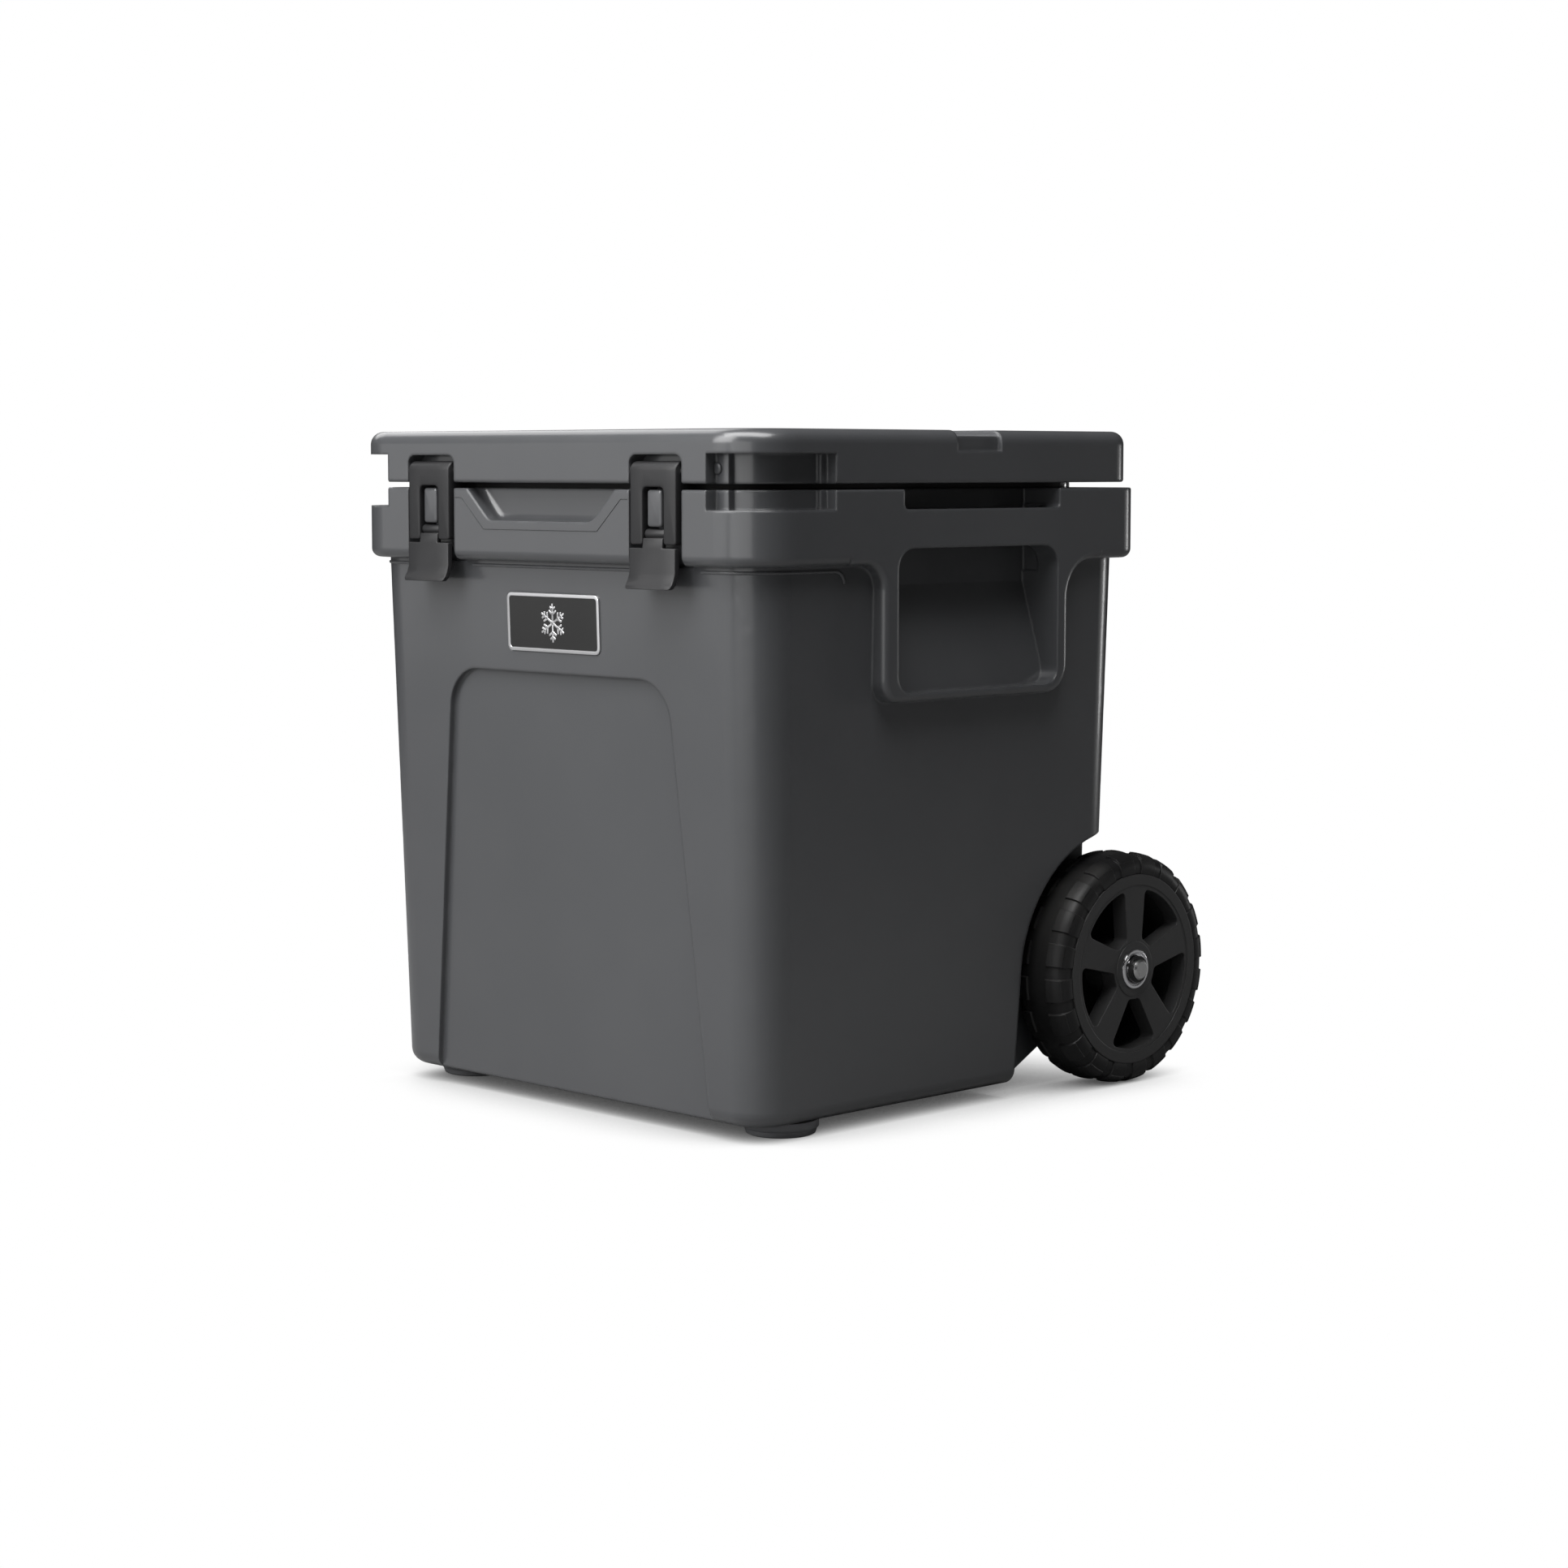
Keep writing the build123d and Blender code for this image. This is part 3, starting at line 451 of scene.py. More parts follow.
class Workshop:
    """Holds the finished materials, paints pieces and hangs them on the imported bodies."""

    def __init__(self) -> None:
        """Builds the shared effects and every material."""
        effects = Effects()
        self.materials = {finish.name: finish.material(effects) for finish in FINISHES}
        self.by_slot = {finish.slot: finish for finish in reversed(FINISHES)}
        self.by_slot["lid_plastic"] = SHELL

    def paint(self, piece: bpy.types.Object, *finishes: Finish) -> None:
        """Gives a piece its finishes.

        Args:
            piece: the object to paint.
            finishes: one for each material index of its faces.
        """
        if piece.data.materials:
            piece.data.materials.clear()
        for finish in finishes:
            piece.data.materials.append(self.materials[finish.name])

    def paint_frame(self) -> None:
        """Gives every carried-over node the finish of its slot in the record."""
        for part in FRAME["record"]["subparts"]:
            self.paint(FRAME["nodes"][part["node"]], self.by_slot[part["material_slot"]])

    def hang(
        self, data: bpy.types.ID, name: str, body: str, finishes: tuple, replaced: tuple = ()
    ) -> bpy.types.Object:
        """Makes a finished piece that rides on a body.

        Args:
            data: the piece's mesh or curve, already in place.
            name: the piece's name.
            body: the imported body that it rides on.
            finishes: its finishes, one for each material index of its faces.
            replaced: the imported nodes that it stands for.

        Returns:
            The piece.
        """
        piece = bpy.data.objects.new(name, data)
        bpy.context.scene.collection.objects.link(piece)
        self.paint(piece, *finishes)
        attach(piece, body)
        if replaced:
            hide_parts(*replaced)
        LOG.info("%s rides on %s", name, body)
        return piece

    def mesh_piece(
        self, mesh: bmesh.types.BMesh, name: str, body: str, finishes: tuple, replaced: tuple = ()
    ) -> bpy.types.Object:
        """Turns a bmesh into a finished piece, smooth except along its sharp edges.

        Args:
            mesh: the shape, in place.
            name: the piece's name.
            body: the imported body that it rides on.
            finishes: its finishes.
            replaced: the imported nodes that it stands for.

        Returns:
            The piece.
        """
        bmesh.ops.remove_doubles(mesh, verts=mesh.verts, dist=TOUCHING)
        bmesh.ops.recalc_face_normals(mesh, faces=mesh.faces)
        data = bpy.data.meshes.new(name)
        mesh.to_mesh(data)
        mesh.free()
        data.shade_smooth()
        data.set_sharp_from_angle(angle=math.radians(SMOOTH_UP_TO))
        return self.hang(data, name, body, finishes, replaced)

    def bead(self, points: list, radius: float, name: str, body: str, finish: Finish) -> bpy.types.Object:
        """Lays a round bead along a line.

        Args:
            points: the line's points.
            radius: the bead's radius.
            name: the piece's name.
            body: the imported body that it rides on.
            finish: its finish.

        Returns:
            The piece.
        """
        curve = bpy.data.curves.new(name, "CURVE")
        curve.dimensions = "3D"
        curve.bevel_depth = radius
        curve.bevel_resolution = 2
        curve.use_fill_caps = True
        line = curve.splines.new("POLY")
        line.points.add(len(points) - 1)
        for spot, point in zip(line.points, points):
            spot.co = (*point, 1.0)
        return self.hang(curve, name, body, (finish,))


# ---- shapes -------------------------------------------------------------------------------------
def sharp_edges(mesh: bmesh.types.BMesh, least: float = 40.0) -> list:
    """The edges where two faces meet at a sharp angle, given in degrees."""
    limit = math.radians(least)
    return [edge for edge in mesh.edges if edge.is_manifold and edge.calc_face_angle() > limit]


def soften(mesh: bmesh.types.BMesh, edges: list, width: float, segments: int = 3) -> None:
    """Rounds edges over.

    Args:
        mesh: the shape.
        edges: the edges to round.
        width: how far the rounding reaches.
        segments: how many strips it has.
    """
    bmesh.ops.bevel(
        mesh, geom=edges, affect="EDGES", offset=width, segments=segments, profile=0.5, material=-1,
        clamp_overlap=True,
    )


def thicken(mesh: bmesh.types.BMesh, way: tuple) -> None:
    """Makes a flat sheet of faces into a solid.

    Args:
        mesh: the sheet.
        way: how far, and which way, the sheet is pushed out.
    """
    pushed = bmesh.ops.extrude_face_region(mesh, geom=list(mesh.faces))
    moved = [item for item in pushed["geom"] if isinstance(item, bmesh.types.BMVert)]
    bmesh.ops.translate(mesh, verts=moved, vec=way)
    bmesh.ops.recalc_face_normals(mesh, faces=mesh.faces)


def lattice(columns: list, rows: list) -> bmesh.types.BMesh:
    """A sheet of rectangles facing the front.

    Args:
        columns: the x of each upright line.
        rows: (y, z) of each level line.

    Returns:
        The sheet.
    """
    mesh = bmesh.new()
    across, up = len(columns) - 1, len(rows) - 1
    bmesh.ops.create_grid(mesh, x_segments=across, y_segments=up, size=0.5)
    for vert in mesh.verts:
        column, row = round((vert.co.x + 0.5) * across), round((vert.co.y + 0.5) * up)
        vert.co = (columns[column], *rows[row])
    return mesh


def drop_cells(mesh: bmesh.types.BMesh, x: tuple, z: tuple) -> None:
    """Takes away a sheet's faces whose middles lie between two values of x and of z.

    Args:
        mesh: the sheet.
        x: the lowest and the highest x.
        z: the lowest and the highest z.
    """
    gone = []
    for face in mesh.faces:
        middle = face.calc_center_median()
        if x[0] < middle.x < x[1] and z[0] < middle.z < z[1]:
            gone.append(face)
    bmesh.ops.delete(mesh, geom=gone, context="FACES")


def spun(profile: list, steps: int, centre: Vector, axis: tuple = (1.0, 0.0, 0.0)) -> bmesh.types.BMesh:
    """Turns a closed profile round an axis.

    Args:
        profile: points of (place along the axis, radius).
        steps: how many steps a full turn has.
        centre: where the axis starts from.
        axis: the axis, along X or Z.

    Returns:
        The ring.
    """
    mesh = bmesh.new()
    along = Vector(axis)
    outward = Vector((0.0, 1.0, 0.0))
    verts = [mesh.verts.new(centre + along * place + outward * radius) for place, radius in profile]
    edges = [mesh.edges.new((verts[index - 1], verts[index])) for index in range(len(verts))]
    bmesh.ops.spin(
        mesh, geom=verts + edges, cent=centre, axis=along, dvec=ORIGIN, angle=math.tau, steps=steps,
        use_merge=True,
    )
    bmesh.ops.recalc_face_normals(mesh, faces=mesh.faces)
    return mesh


def rounded_slab(half: tuple, corner: float, depth: float, edge: float) -> bmesh.types.BMesh:
    """A slab in the XZ plane with rounded corners and a softened front, facing -Y.

    Args:
        half: half its width and half its height.
        corner: the radius of its corners.
        depth: how thick it is, back from y = 0.
        edge: how far its front edges are rounded.

    Returns:
        The slab.
    """
    mesh = lattice([-half[0], half[0]], [(0.0, -half[1]), (0.0, half[1])])
    bmesh.ops.bevel(
        mesh, geom=list(mesh.verts), affect="VERTICES", offset=corner, segments=6, profile=0.5, material=-1
    )
    thicken(mesh, (0.0, depth, 0.0))
    front = [line for line in mesh.edges if all(abs(vert.co.y) < TOUCHING for vert in line.verts)]
    soften(mesh, front, edge)
    mesh.normal_update()
    return mesh


def turn_about(mesh: bmesh.types.BMesh, turn: float, axis: str) -> None:
    """Turns a shape about the origin, by radians round an axis named X, Y or Z."""
    bmesh.ops.rotate(mesh, verts=mesh.verts, cent=ORIGIN, matrix=Matrix.Rotation(turn, 3, axis))


def merge_in(target: bmesh.types.BMesh, other: bmesh.types.BMesh) -> None:
    """Adds a second shape to the first and frees it.

    Args:
        target: the shape that takes the other in.
        other: the shape that is added.
    """
    scrap = bpy.data.meshes.new("scrap")
    other.to_mesh(scrap)
    other.free()
    target.from_mesh(scrap)
    bpy.data.meshes.remove(scrap)


def cap_screw(radius: float, height: float) -> bmesh.types.BMesh:
    """A domed screw head with a hexagonal socket, standing on z = 0 and looking up.

    Args:
        radius: the head's radius.
        height: the head's height.

    Returns:
        The head.
    """
    mesh = bmesh.new()
    bmesh.ops.create_cone(
        mesh, cap_ends=True, segments=24, radius1=radius, radius2=radius * 0.82, depth=height
    )
    bmesh.ops.translate(mesh, verts=mesh.verts, vec=(0.0, 0.0, height / 2))
    rim = [edge for edge in mesh.edges if all(vert.co.z > height * 0.9 for vert in edge.verts)]
    soften(mesh, rim, radius * 0.12, 2)
    mesh.normal_update()
    top = [face for face in mesh.faces if face.normal.z > 0.99 and face.calc_center_median().z > height * 0.9]
    bmesh.ops.inset_region(mesh, faces=top, thickness=radius * 0.3, depth=0.0)
    bmesh.ops.inset_region(mesh, faces=top, thickness=radius * 0.02, depth=-height * 0.6)
    for vert in {vert for face in top for vert in face.verts}:
        turn = math.atan2(vert.co.y, vert.co.x)
        reach = math.cos(math.pi / 6) / math.cos((turn % (math.pi / 3)) - math.pi / 6)
        flat = vert.co.xy.normalized() * radius * 0.5 * reach
        vert.co.x, vert.co.y = flat
    return mesh


# ---- wheels -------------------------------------------------------------------------------------
@dataclass
class Wheel:
    """One wheel: a tyre with lugs on both shoulders, a dished disc behind the spokes and a bearing shield."""

    side: Side
    lug_count: int = 20
    lug_height: float = 1.5 * MM
    block_height: float = 0.8 * MM
    steps_per_lug: int = 6
    steps_raised: int = 4
    rim_margin: float = 8.0 * MM
    hub_radius: float = 21.0 * MM
    disc_thickness: float = 2.5 * MM
    profile: tuple = (  # millimetres from the tyre's middle and from its tread, for the right half
        (0.0, 0.0), (8.6, -0.1), (14.4, -0.9), (18.2, -2.3), (21.0, -4.8), (22.4, -7.6), (22.9, -10.2),
        (22.9, -13.8), (22.2, -16.2),
    )

    def __post_init__(self) -> None:
        """Reads the wheel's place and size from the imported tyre."""
        low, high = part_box(f"tyre_{self.side.word}")
        self.middle = (low + high) / 2
        self.radius = (high.z - low.z) / 2
        self.body = f"wheel_{self.side.word}"

    def build(self, workshop: Workshop) -> None:
        """Makes the wheel's pieces.

        Args:
            workshop: where the pieces are finished.
        """
        self._tyre(workshop)
        self._shield(workshop)
        self._back_disc(workshop)

    def _tyre(self, workshop: Workshop) -> None:
        """The tyre: smooth in the middle, with a row of lugs and of side blocks along each shoulder.

        Args:
            workshop: where the piece is finished.
        """
        base = self.radius - self.lug_height
        half = [(place * MM, base + drop * MM) for place, drop in self.profile]
        whole = half + [(-place, radius) for place, radius in reversed(half[1:])]
        steps = self.lug_count * self.steps_per_lug
        mesh = spun(whole, steps, self.middle)
        edges = [place * MM for place, _ in self.profile]
        for direction in (1, -1):
            self._raise(mesh, direction, (edges[1], edges[4]), self.lug_height, 0.6 * MM)
            self._raise(mesh, direction, (edges[4], edges[6] + 0.01 * MM), self.block_height, 0.5 * MM)
        node = f"tyre_{self.side.word}"
        workshop.mesh_piece(mesh, f"lugged_tyre_{self.side.word}", self.body, (TYRE,), (node,))

    def _raise(
        self, mesh: bmesh.types.BMesh, direction: int, reach: tuple, height: float, slope: float
    ) -> None:
        """Raises one ring of blocks out of the tyre.

        Args:
            mesh: the tyre.
            direction: 1 for its right shoulder and -1 for its left one.
            reach: how far from the middle the blocks start and end.
            height: how high they stand.
            slope: how far their sides lean in.
        """
        step = math.tau / (self.lug_count * self.steps_per_lug)
        blocks = [[] for _ in range(self.lug_count)]
        for face in mesh.faces:
            spot = face.calc_center_median() - self.middle
            turn = int((math.atan2(spot.z, spot.y) % math.tau) / step)
            number, place = divmod(turn, self.steps_per_lug)
            raised = place < self.steps_raised and len(face.verts) == 4
            outside = face.normal.dot(Vector((0.0, spot.y, spot.z))) > 0 or abs(face.normal.x) > 0.5
            if raised and outside and reach[0] < direction * spot.x < reach[1]:
                blocks[number].append(face)
        for faces in blocks:
            bmesh.ops.inset_region(mesh, faces=faces, thickness=slope, depth=height, use_even_offset=True)

    def _back_disc(self, workshop: Workshop) -> None:
        """The dished disc that closes the wheel behind its spokes, painted near-black as the shade inside the
        wheel.

        Args:
            workshop: where the piece is finished.
        """
        low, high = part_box(f"wheel_rim_{self.side.word}")
        outer, hub = (high.z - low.z) / 2 - self.rim_margin, self.hub_radius
        inside = low.x if self.side is Side.RIGHT else high.x
        dish = [
            (6.0 * MM, outer), (9.0 * MM, outer - 6.0 * MM), (14.0 * MM, hub + 8.0 * MM), (14.0 * MM, hub),
        ]
        behind = [(place - self.disc_thickness, reach) for place, reach in reversed(dish)]
        profile = [(self.side.value * place, reach) for place, reach in dish + behind]
        mesh = spun(profile, 72, Vector((inside, self.middle.y, self.middle.z)))
        workshop.mesh_piece(mesh, f"wheel_back_disc_{self.side.word}", self.body, (SHADE_PAINTED_WEB,))

    def _shield(self, workshop: Workshop) -> None:
        """The bright outer bearing, with a groove inside each of its two races.

        Args:
            workshop: where the piece is finished.
        """
        node = f"bearing_outer_{self.side.word}"
        low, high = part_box(node)
        radius, length = (high.z - low.z) / 2, high.x - low.x
        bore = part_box(f"axle_retainer_{self.side.word}")
        inner = max(radius * 0.53, (bore[1].z - bore[0].z) / 2 * 0.7)
        steps = [
            (0.0, radius), (length - 0.5 * MM, radius), (length, radius - 0.5 * MM), (length, radius * 0.86),
            (length - 0.9 * MM, radius * 0.84), (length - 0.9 * MM, radius * 0.81),
            (length - 0.3 * MM, radius * 0.79), (length - 0.6 * MM, radius * 0.66),
            (length - 1.0 * MM, radius * 0.65), (length - 1.0 * MM, radius * 0.63),
            (length - 0.1 * MM, radius * 0.61), (length - 0.1 * MM, inner), (0.0, inner),
        ]
        start = low.x if self.side is Side.RIGHT else high.x
        profile = [(self.side.value * place, reach) for place, reach in steps]
        mesh = spun(profile, 64, Vector((start, self.middle.y, self.middle.z)))
        workshop.mesh_piece(mesh, f"bearing_shield_{self.side.word}", self.body, (CHROME,), (node,))


# ---- latches ------------------------------------------------------------------------------------
@dataclass
class Latch:
    """One rubber latch: an arm with a window, a T-shaped pull tab and the keeper post that it hooks over."""

    side: Side
    window: float = 22.0 * MM
    window_top: float = 11.0 * MM  # of the window, below the arm's pin
    top_roll: float = 7.0 * MM
    tongue: float = 20.6 * MM
    tab_thickness: float = 4.3 * MM
    tab_corner: float = 5.5 * MM
    knuckle: float = 3.7 * MM
    edge: float = 1.0 * MM

    def build(self, workshop: Workshop) -> None:
        """Makes the latch's pieces.

        Args:
            workshop: where the pieces are finished.
        """
        self._arm(workshop)
        self._tab(workshop)
        self._keeper(workshop)

    def _arm(self, workshop: Workshop) -> None:
        """The arm: rolled over at its pin, with a leg down each side of the window.

        Args:
            workshop: where the piece is finished.
        """
        node = f"latch_arm_{self.side.word}"
        low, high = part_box(node)
        pin_low, pin_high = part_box(f"latch_pin_{self.side.word}")
        middle = (low.x + high.x) / 2
        sill = (pin_low.z + pin_high.z) / 2 - self.window_top
        columns = [low.x, middle - self.window / 2, middle + self.window / 2, high.x]
        mesh = lattice(columns, [(low.y, low.z), (low.y, sill), (low.y, high.z)])
        drop_cells(mesh, (columns[1], columns[2]), (low.z, sill))
        thicken(mesh, (0.0, 2 * self.top_roll + 0.6 * MM, 0.0))
        level = [
            edge for edge in mesh.edges if self._along(edge, 0) and edge.verts[0].co.z > high.z - TOUCHING
        ]
        outer = [edge for edge in level if edge.is_manifold and edge.calc_face_angle() > 1.0]
        soften(mesh, outer, self.top_roll, 7)
        window = [
            edge for edge in sharp_edges(mesh)
            if self._along(edge, 1) and abs(edge.verts[0].co.z - sill) < TOUCHING
        ]
        soften(mesh, window, 4.0 * MM, 4)
        feet = [
            edge for edge in sharp_edges(mesh)
            if self._along(edge, 1) and edge.verts[0].co.z < low.z + TOUCHING
        ]
        soften(mesh, feet, 2.2 * MM, 3)
        soften(mesh, sharp_edges(mesh), self.edge)
        body = f"latch_{self.side.word}"
        workshop.mesh_piece(mesh, f"rolled_latch_arm_{self.side.word}", body, (LATCH,), (node,))

    def _along(self, edge: bmesh.types.BMEdge, axis: int) -> bool:
        """Whether an edge runs along an axis."""
        way = edge.verts[1].co - edge.verts[0].co
        return abs(way[axis]) > 0.99 * way.length

    def _tab(self, workshop: Workshop) -> None:
        """The pull tab: a tongue between the arm's legs, and a wide plate whose lip flares forward.

        Args:
            workshop: where the piece is finished.
        """
        node = f"pull_tab_{self.side.word}"
        low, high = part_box(node)
        pin_low, pin_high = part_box(f"tab_pin_{self.side.word}")
        pin = (pin_low + pin_high) / 2
        plate, shoulder = pin.y - 6.2 * MM, pin.z - 10.1 * MM
        columns = [low.x, pin.x - self.tongue / 2, pin.x + self.tongue / 2, high.x]
        rows = [
            (low.y, low.z + 0.3 * MM), (low.y + 1.6 * MM, low.z + 3.2 * MM),
            (plate - 1.6 * MM, low.z + 7.0 * MM), (plate, low.z + 12.0 * MM), (plate, shoulder),
            (plate + 1.0 * MM, pin.z - 3.0 * MM),
        ]
        mesh = lattice(columns, rows)
        drop_cells(mesh, (low.x, columns[1]), (shoulder, pin.z))
        drop_cells(mesh, (columns[2], high.x), (shoulder, pin.z))
        thicken(mesh, (0.0, self.tab_thickness, 0.0))
        corners = [
            edge for edge in sharp_edges(mesh)
            if self._along(edge, 1) and edge.verts[0].co.z < low.z + 1.0 * MM
        ]
        soften(mesh, corners, self.tab_corner, 6)
        soften(mesh, sharp_edges(mesh), self.edge)
        knuckle = bmesh.new()
        turn = Matrix.Rotation(math.radians(90), 4, "Y")
        bmesh.ops.create_cone(
            knuckle, cap_ends=True, segments=32, radius1=self.knuckle, radius2=self.knuckle,
            depth=self.tongue, matrix=Matrix.Translation(pin) @ turn,
        )
        soften(knuckle, sharp_edges(knuckle), 0.5 * MM, 2)
        merge_in(mesh, knuckle)
        body = f"tab_{self.side.word}"
        workshop.mesh_piece(mesh, f"flared_pull_tab_{self.side.word}", body, (LATCH,), (node,))

    def _keeper(self, workshop: Workshop) -> None:
        """The keeper post, round-cornered, standing in the window.

        Args:
            workshop: where the piece is finished.
        """
        node = f"keeper_{self.side.word}"
        low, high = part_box(node)
        half = ((high.x - low.x) / 2, (high.z - low.z) / 2)
        mesh = rounded_slab(half, 2.4 * MM, high.y - low.y, 1.8 * MM)
        middle = (low + high) / 2
        bmesh.ops.translate(mesh, verts=mesh.verts, vec=(middle.x, low.y, middle.z))
        workshop.mesh_piece(mesh, f"rounded_keeper_{self.side.word}", "tub", (KEEPER,), (node,))


# ---- nameplate ----------------------------------------------------------------------------------
@dataclass
class Nameplate:
    """The plate on the front: a bright border round a black field with a plain six-armed flake."""

    border: float = 2.5 * MM
    corner: float = 5.0 * MM
    edge: float = 0.35 * MM
    flake_reach: float = 14.5 * MM
    flake_width: float = 1.7 * MM
    branches: tuple = ((0.45, 0.34), (0.7, 0.24))  # where each pair leaves its arm, and its reach, in arms
    branch_turn: float = math.radians(55)
    lean: float = math.atan2(13.0, 406.0)  # of the drafted front face

    def build(self, workshop: Workshop) -> None:
        """Makes the plate and its flake.

        Args:
            workshop: where the pieces are finished.
        """
        low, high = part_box("nameplate")
        half = ((high.x - low.x) / 2, (high.z - low.z) / 2)
        plate = rounded_slab(half, self.corner, 2.5 * MM, self.edge)
        front = [face for face in plate.faces if face.normal.y < -0.9]
        field = max(front, key=lambda face: face.calc_area())
        bmesh.ops.inset_region(plate, faces=[field], thickness=self.border - self.edge, depth=0.0)
        bmesh.ops.inset_region(plate, faces=[field], thickness=0.15 * MM, depth=-self.edge)
        field.material_index = 1
        self._seat(plate, low, high)
        workshop.mesh_piece(plate, "bordered_nameplate", "tub", (PLATE, PLATE_FIELD), ("nameplate",))
        flake = self._flake()
        self._seat(flake, low, high)
        workshop.mesh_piece(flake, "nameplate_flake", "tub", (PLATE,))

    def _seat(self, mesh: bmesh.types.BMesh, low: Vector, high: Vector) -> None:
        """Leans a shape with the front face and moves it to the plate's place.

        Args:
            mesh: the shape, facing the front at the origin.
            low: the plate's lowest corner.
            high: the plate's highest corner.
        """
        turn_about(mesh, self.lean, "X")
        middle = (low + high) / 2
        out = low.y + math.sin(self.lean) * (high.z - low.z) / 2
        bmesh.ops.translate(mesh, verts=mesh.verts, vec=(middle.x, out, middle.z))

    def _bar(self, reach: float, root: float, turn: float) -> bmesh.types.BMesh:
        """A thin bar that leaves a point on the upright arm, turned in the plate's plane.

        Args:
            reach: how long the bar is.
            root: how far up the arm it starts.
            turn: how far it leans, in radians.

        Returns:
            The bar.
        """
        bar = rounded_slab((self.flake_width / 2, reach / 2), self.flake_width * 0.3, 0.4 * MM, 0.08 * MM)
        bmesh.ops.translate(bar, verts=bar.verts, vec=(0.0, -0.02 * MM, reach / 2))
        turn_about(bar, turn, "Y")
        bmesh.ops.translate(bar, verts=bar.verts, vec=(0.0, 0.0, root))
        return bar

    def _flake(self) -> bmesh.types.BMesh:
        """Six arms, each with two pairs of side branches.

        Returns:
            The flake, at the origin.
        """
        whole = bmesh.new()
        for arm_number in range(6):
            arm = self._bar(self.flake_reach, 0.0, 0.0)
            for root, reach in self.branches:
                for turn in (self.branch_turn, -self.branch_turn):
                    merge_in(arm, self._bar(reach * self.flake_reach, root * self.flake_reach, turn))
            turn_about(arm, math.tau / 6 * arm_number, "Y")
            merge_in(whole, arm)
        return whole


# ---- shell trim ---------------------------------------------------------------------------------
@dataclass
class ShellTrim:
    """The bead under the tub's rim and the moulding line under the finger scoop."""

    bead_radius: float = 1.3 * MM
    line_radius: float = 0.25 * MM
    rim_drop: float = 4.3 * MM  # of the rim's top, below the gasket's
    rim_height: float = 58.0 * MM
    wall_depth: float = 12.1 * MM  # of the front wall, behind the rim's front
    wall_half: float = 215.7 * MM
    corner_radius: float = 36.0 * MM
    corner_steps: int = 14
    between_latches: float = 91.0 * MM
    past_latch: float = 162.0 * MM
    side_reach: float = 92.0 * MM
    hook: float = 9.0 * MM
    hook_steps: int = 6
    scoop_line: tuple = ((97.5, 7.0), (90.0, 7.0), (64.0, 30.5))  # millimetres out, and down from the rim

    def __post_init__(self) -> None:
        """Reads the rim's front and the heights that the lines run at."""
        self.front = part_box("body_shell")[0].y
        self.rim_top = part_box("lid_gasket")[1].z - self.rim_drop

    def build(self, workshop: Workshop) -> None:
        """Makes the beads and lines.

        Args:
            workshop: where the pieces are finished.
        """
        z = self.rim_top - self.rim_height
        face = self.front + self.wall_depth
        front = [(-self.between_latches, face, z), (self.between_latches, face, z)]
        workshop.bead(front, self.bead_radius, "rim_bead_front", "tub", SHELL)
        for side in Side:
            workshop.bead(self._corner_bead(side, z), self.bead_radius, f"rim_bead_{side.word}", "tub", SHELL)
        self._scoop_line(workshop)

    def _corner_bead(self, side: Side, z: float) -> list:
        """The line of a bead that runs from a latch round the corner and ends in a small hook.

        Args:
            side: the side it is on.
            z: its height.

        Returns:
            The line's points.
        """
        radius, half = self.corner_radius, self.wall_half
        centre = (half - radius, self.wall_depth + radius)
        line = [(self.past_latch, self.wall_depth)]
        for step in range(self.corner_steps + 1):
            turn = math.radians(90) * step / self.corner_steps
            line.append((centre[0] + radius * math.sin(turn), centre[1] - radius * math.cos(turn)))
        line.append((half, self.side_reach))
        points = [(side.value * x, self.front + back, z) for x, back in line]
        for step in range(1, self.hook_steps + 1):
            turn = math.radians(90) * step / self.hook_steps
            back = self.front + self.side_reach + self.hook * math.sin(turn)
            points.append((side.value * half, back, z - self.hook * (1 - math.cos(turn))))
        return points

    def _scoop_line(self, workshop: Workshop) -> None:
        """The fine moulding line under the finger scoop.

        Args:
            workshop: where the piece is finished.
        """
        line = [(-out, down) for out, down in self.scoop_line] + list(reversed(self.scoop_line))
        points = [(out * MM, self.front - 0.1 * MM, self.rim_top - down * MM) for out, down in line]
        workshop.bead(points, self.line_radius, "moulding_line_front", "tub", SHELL)


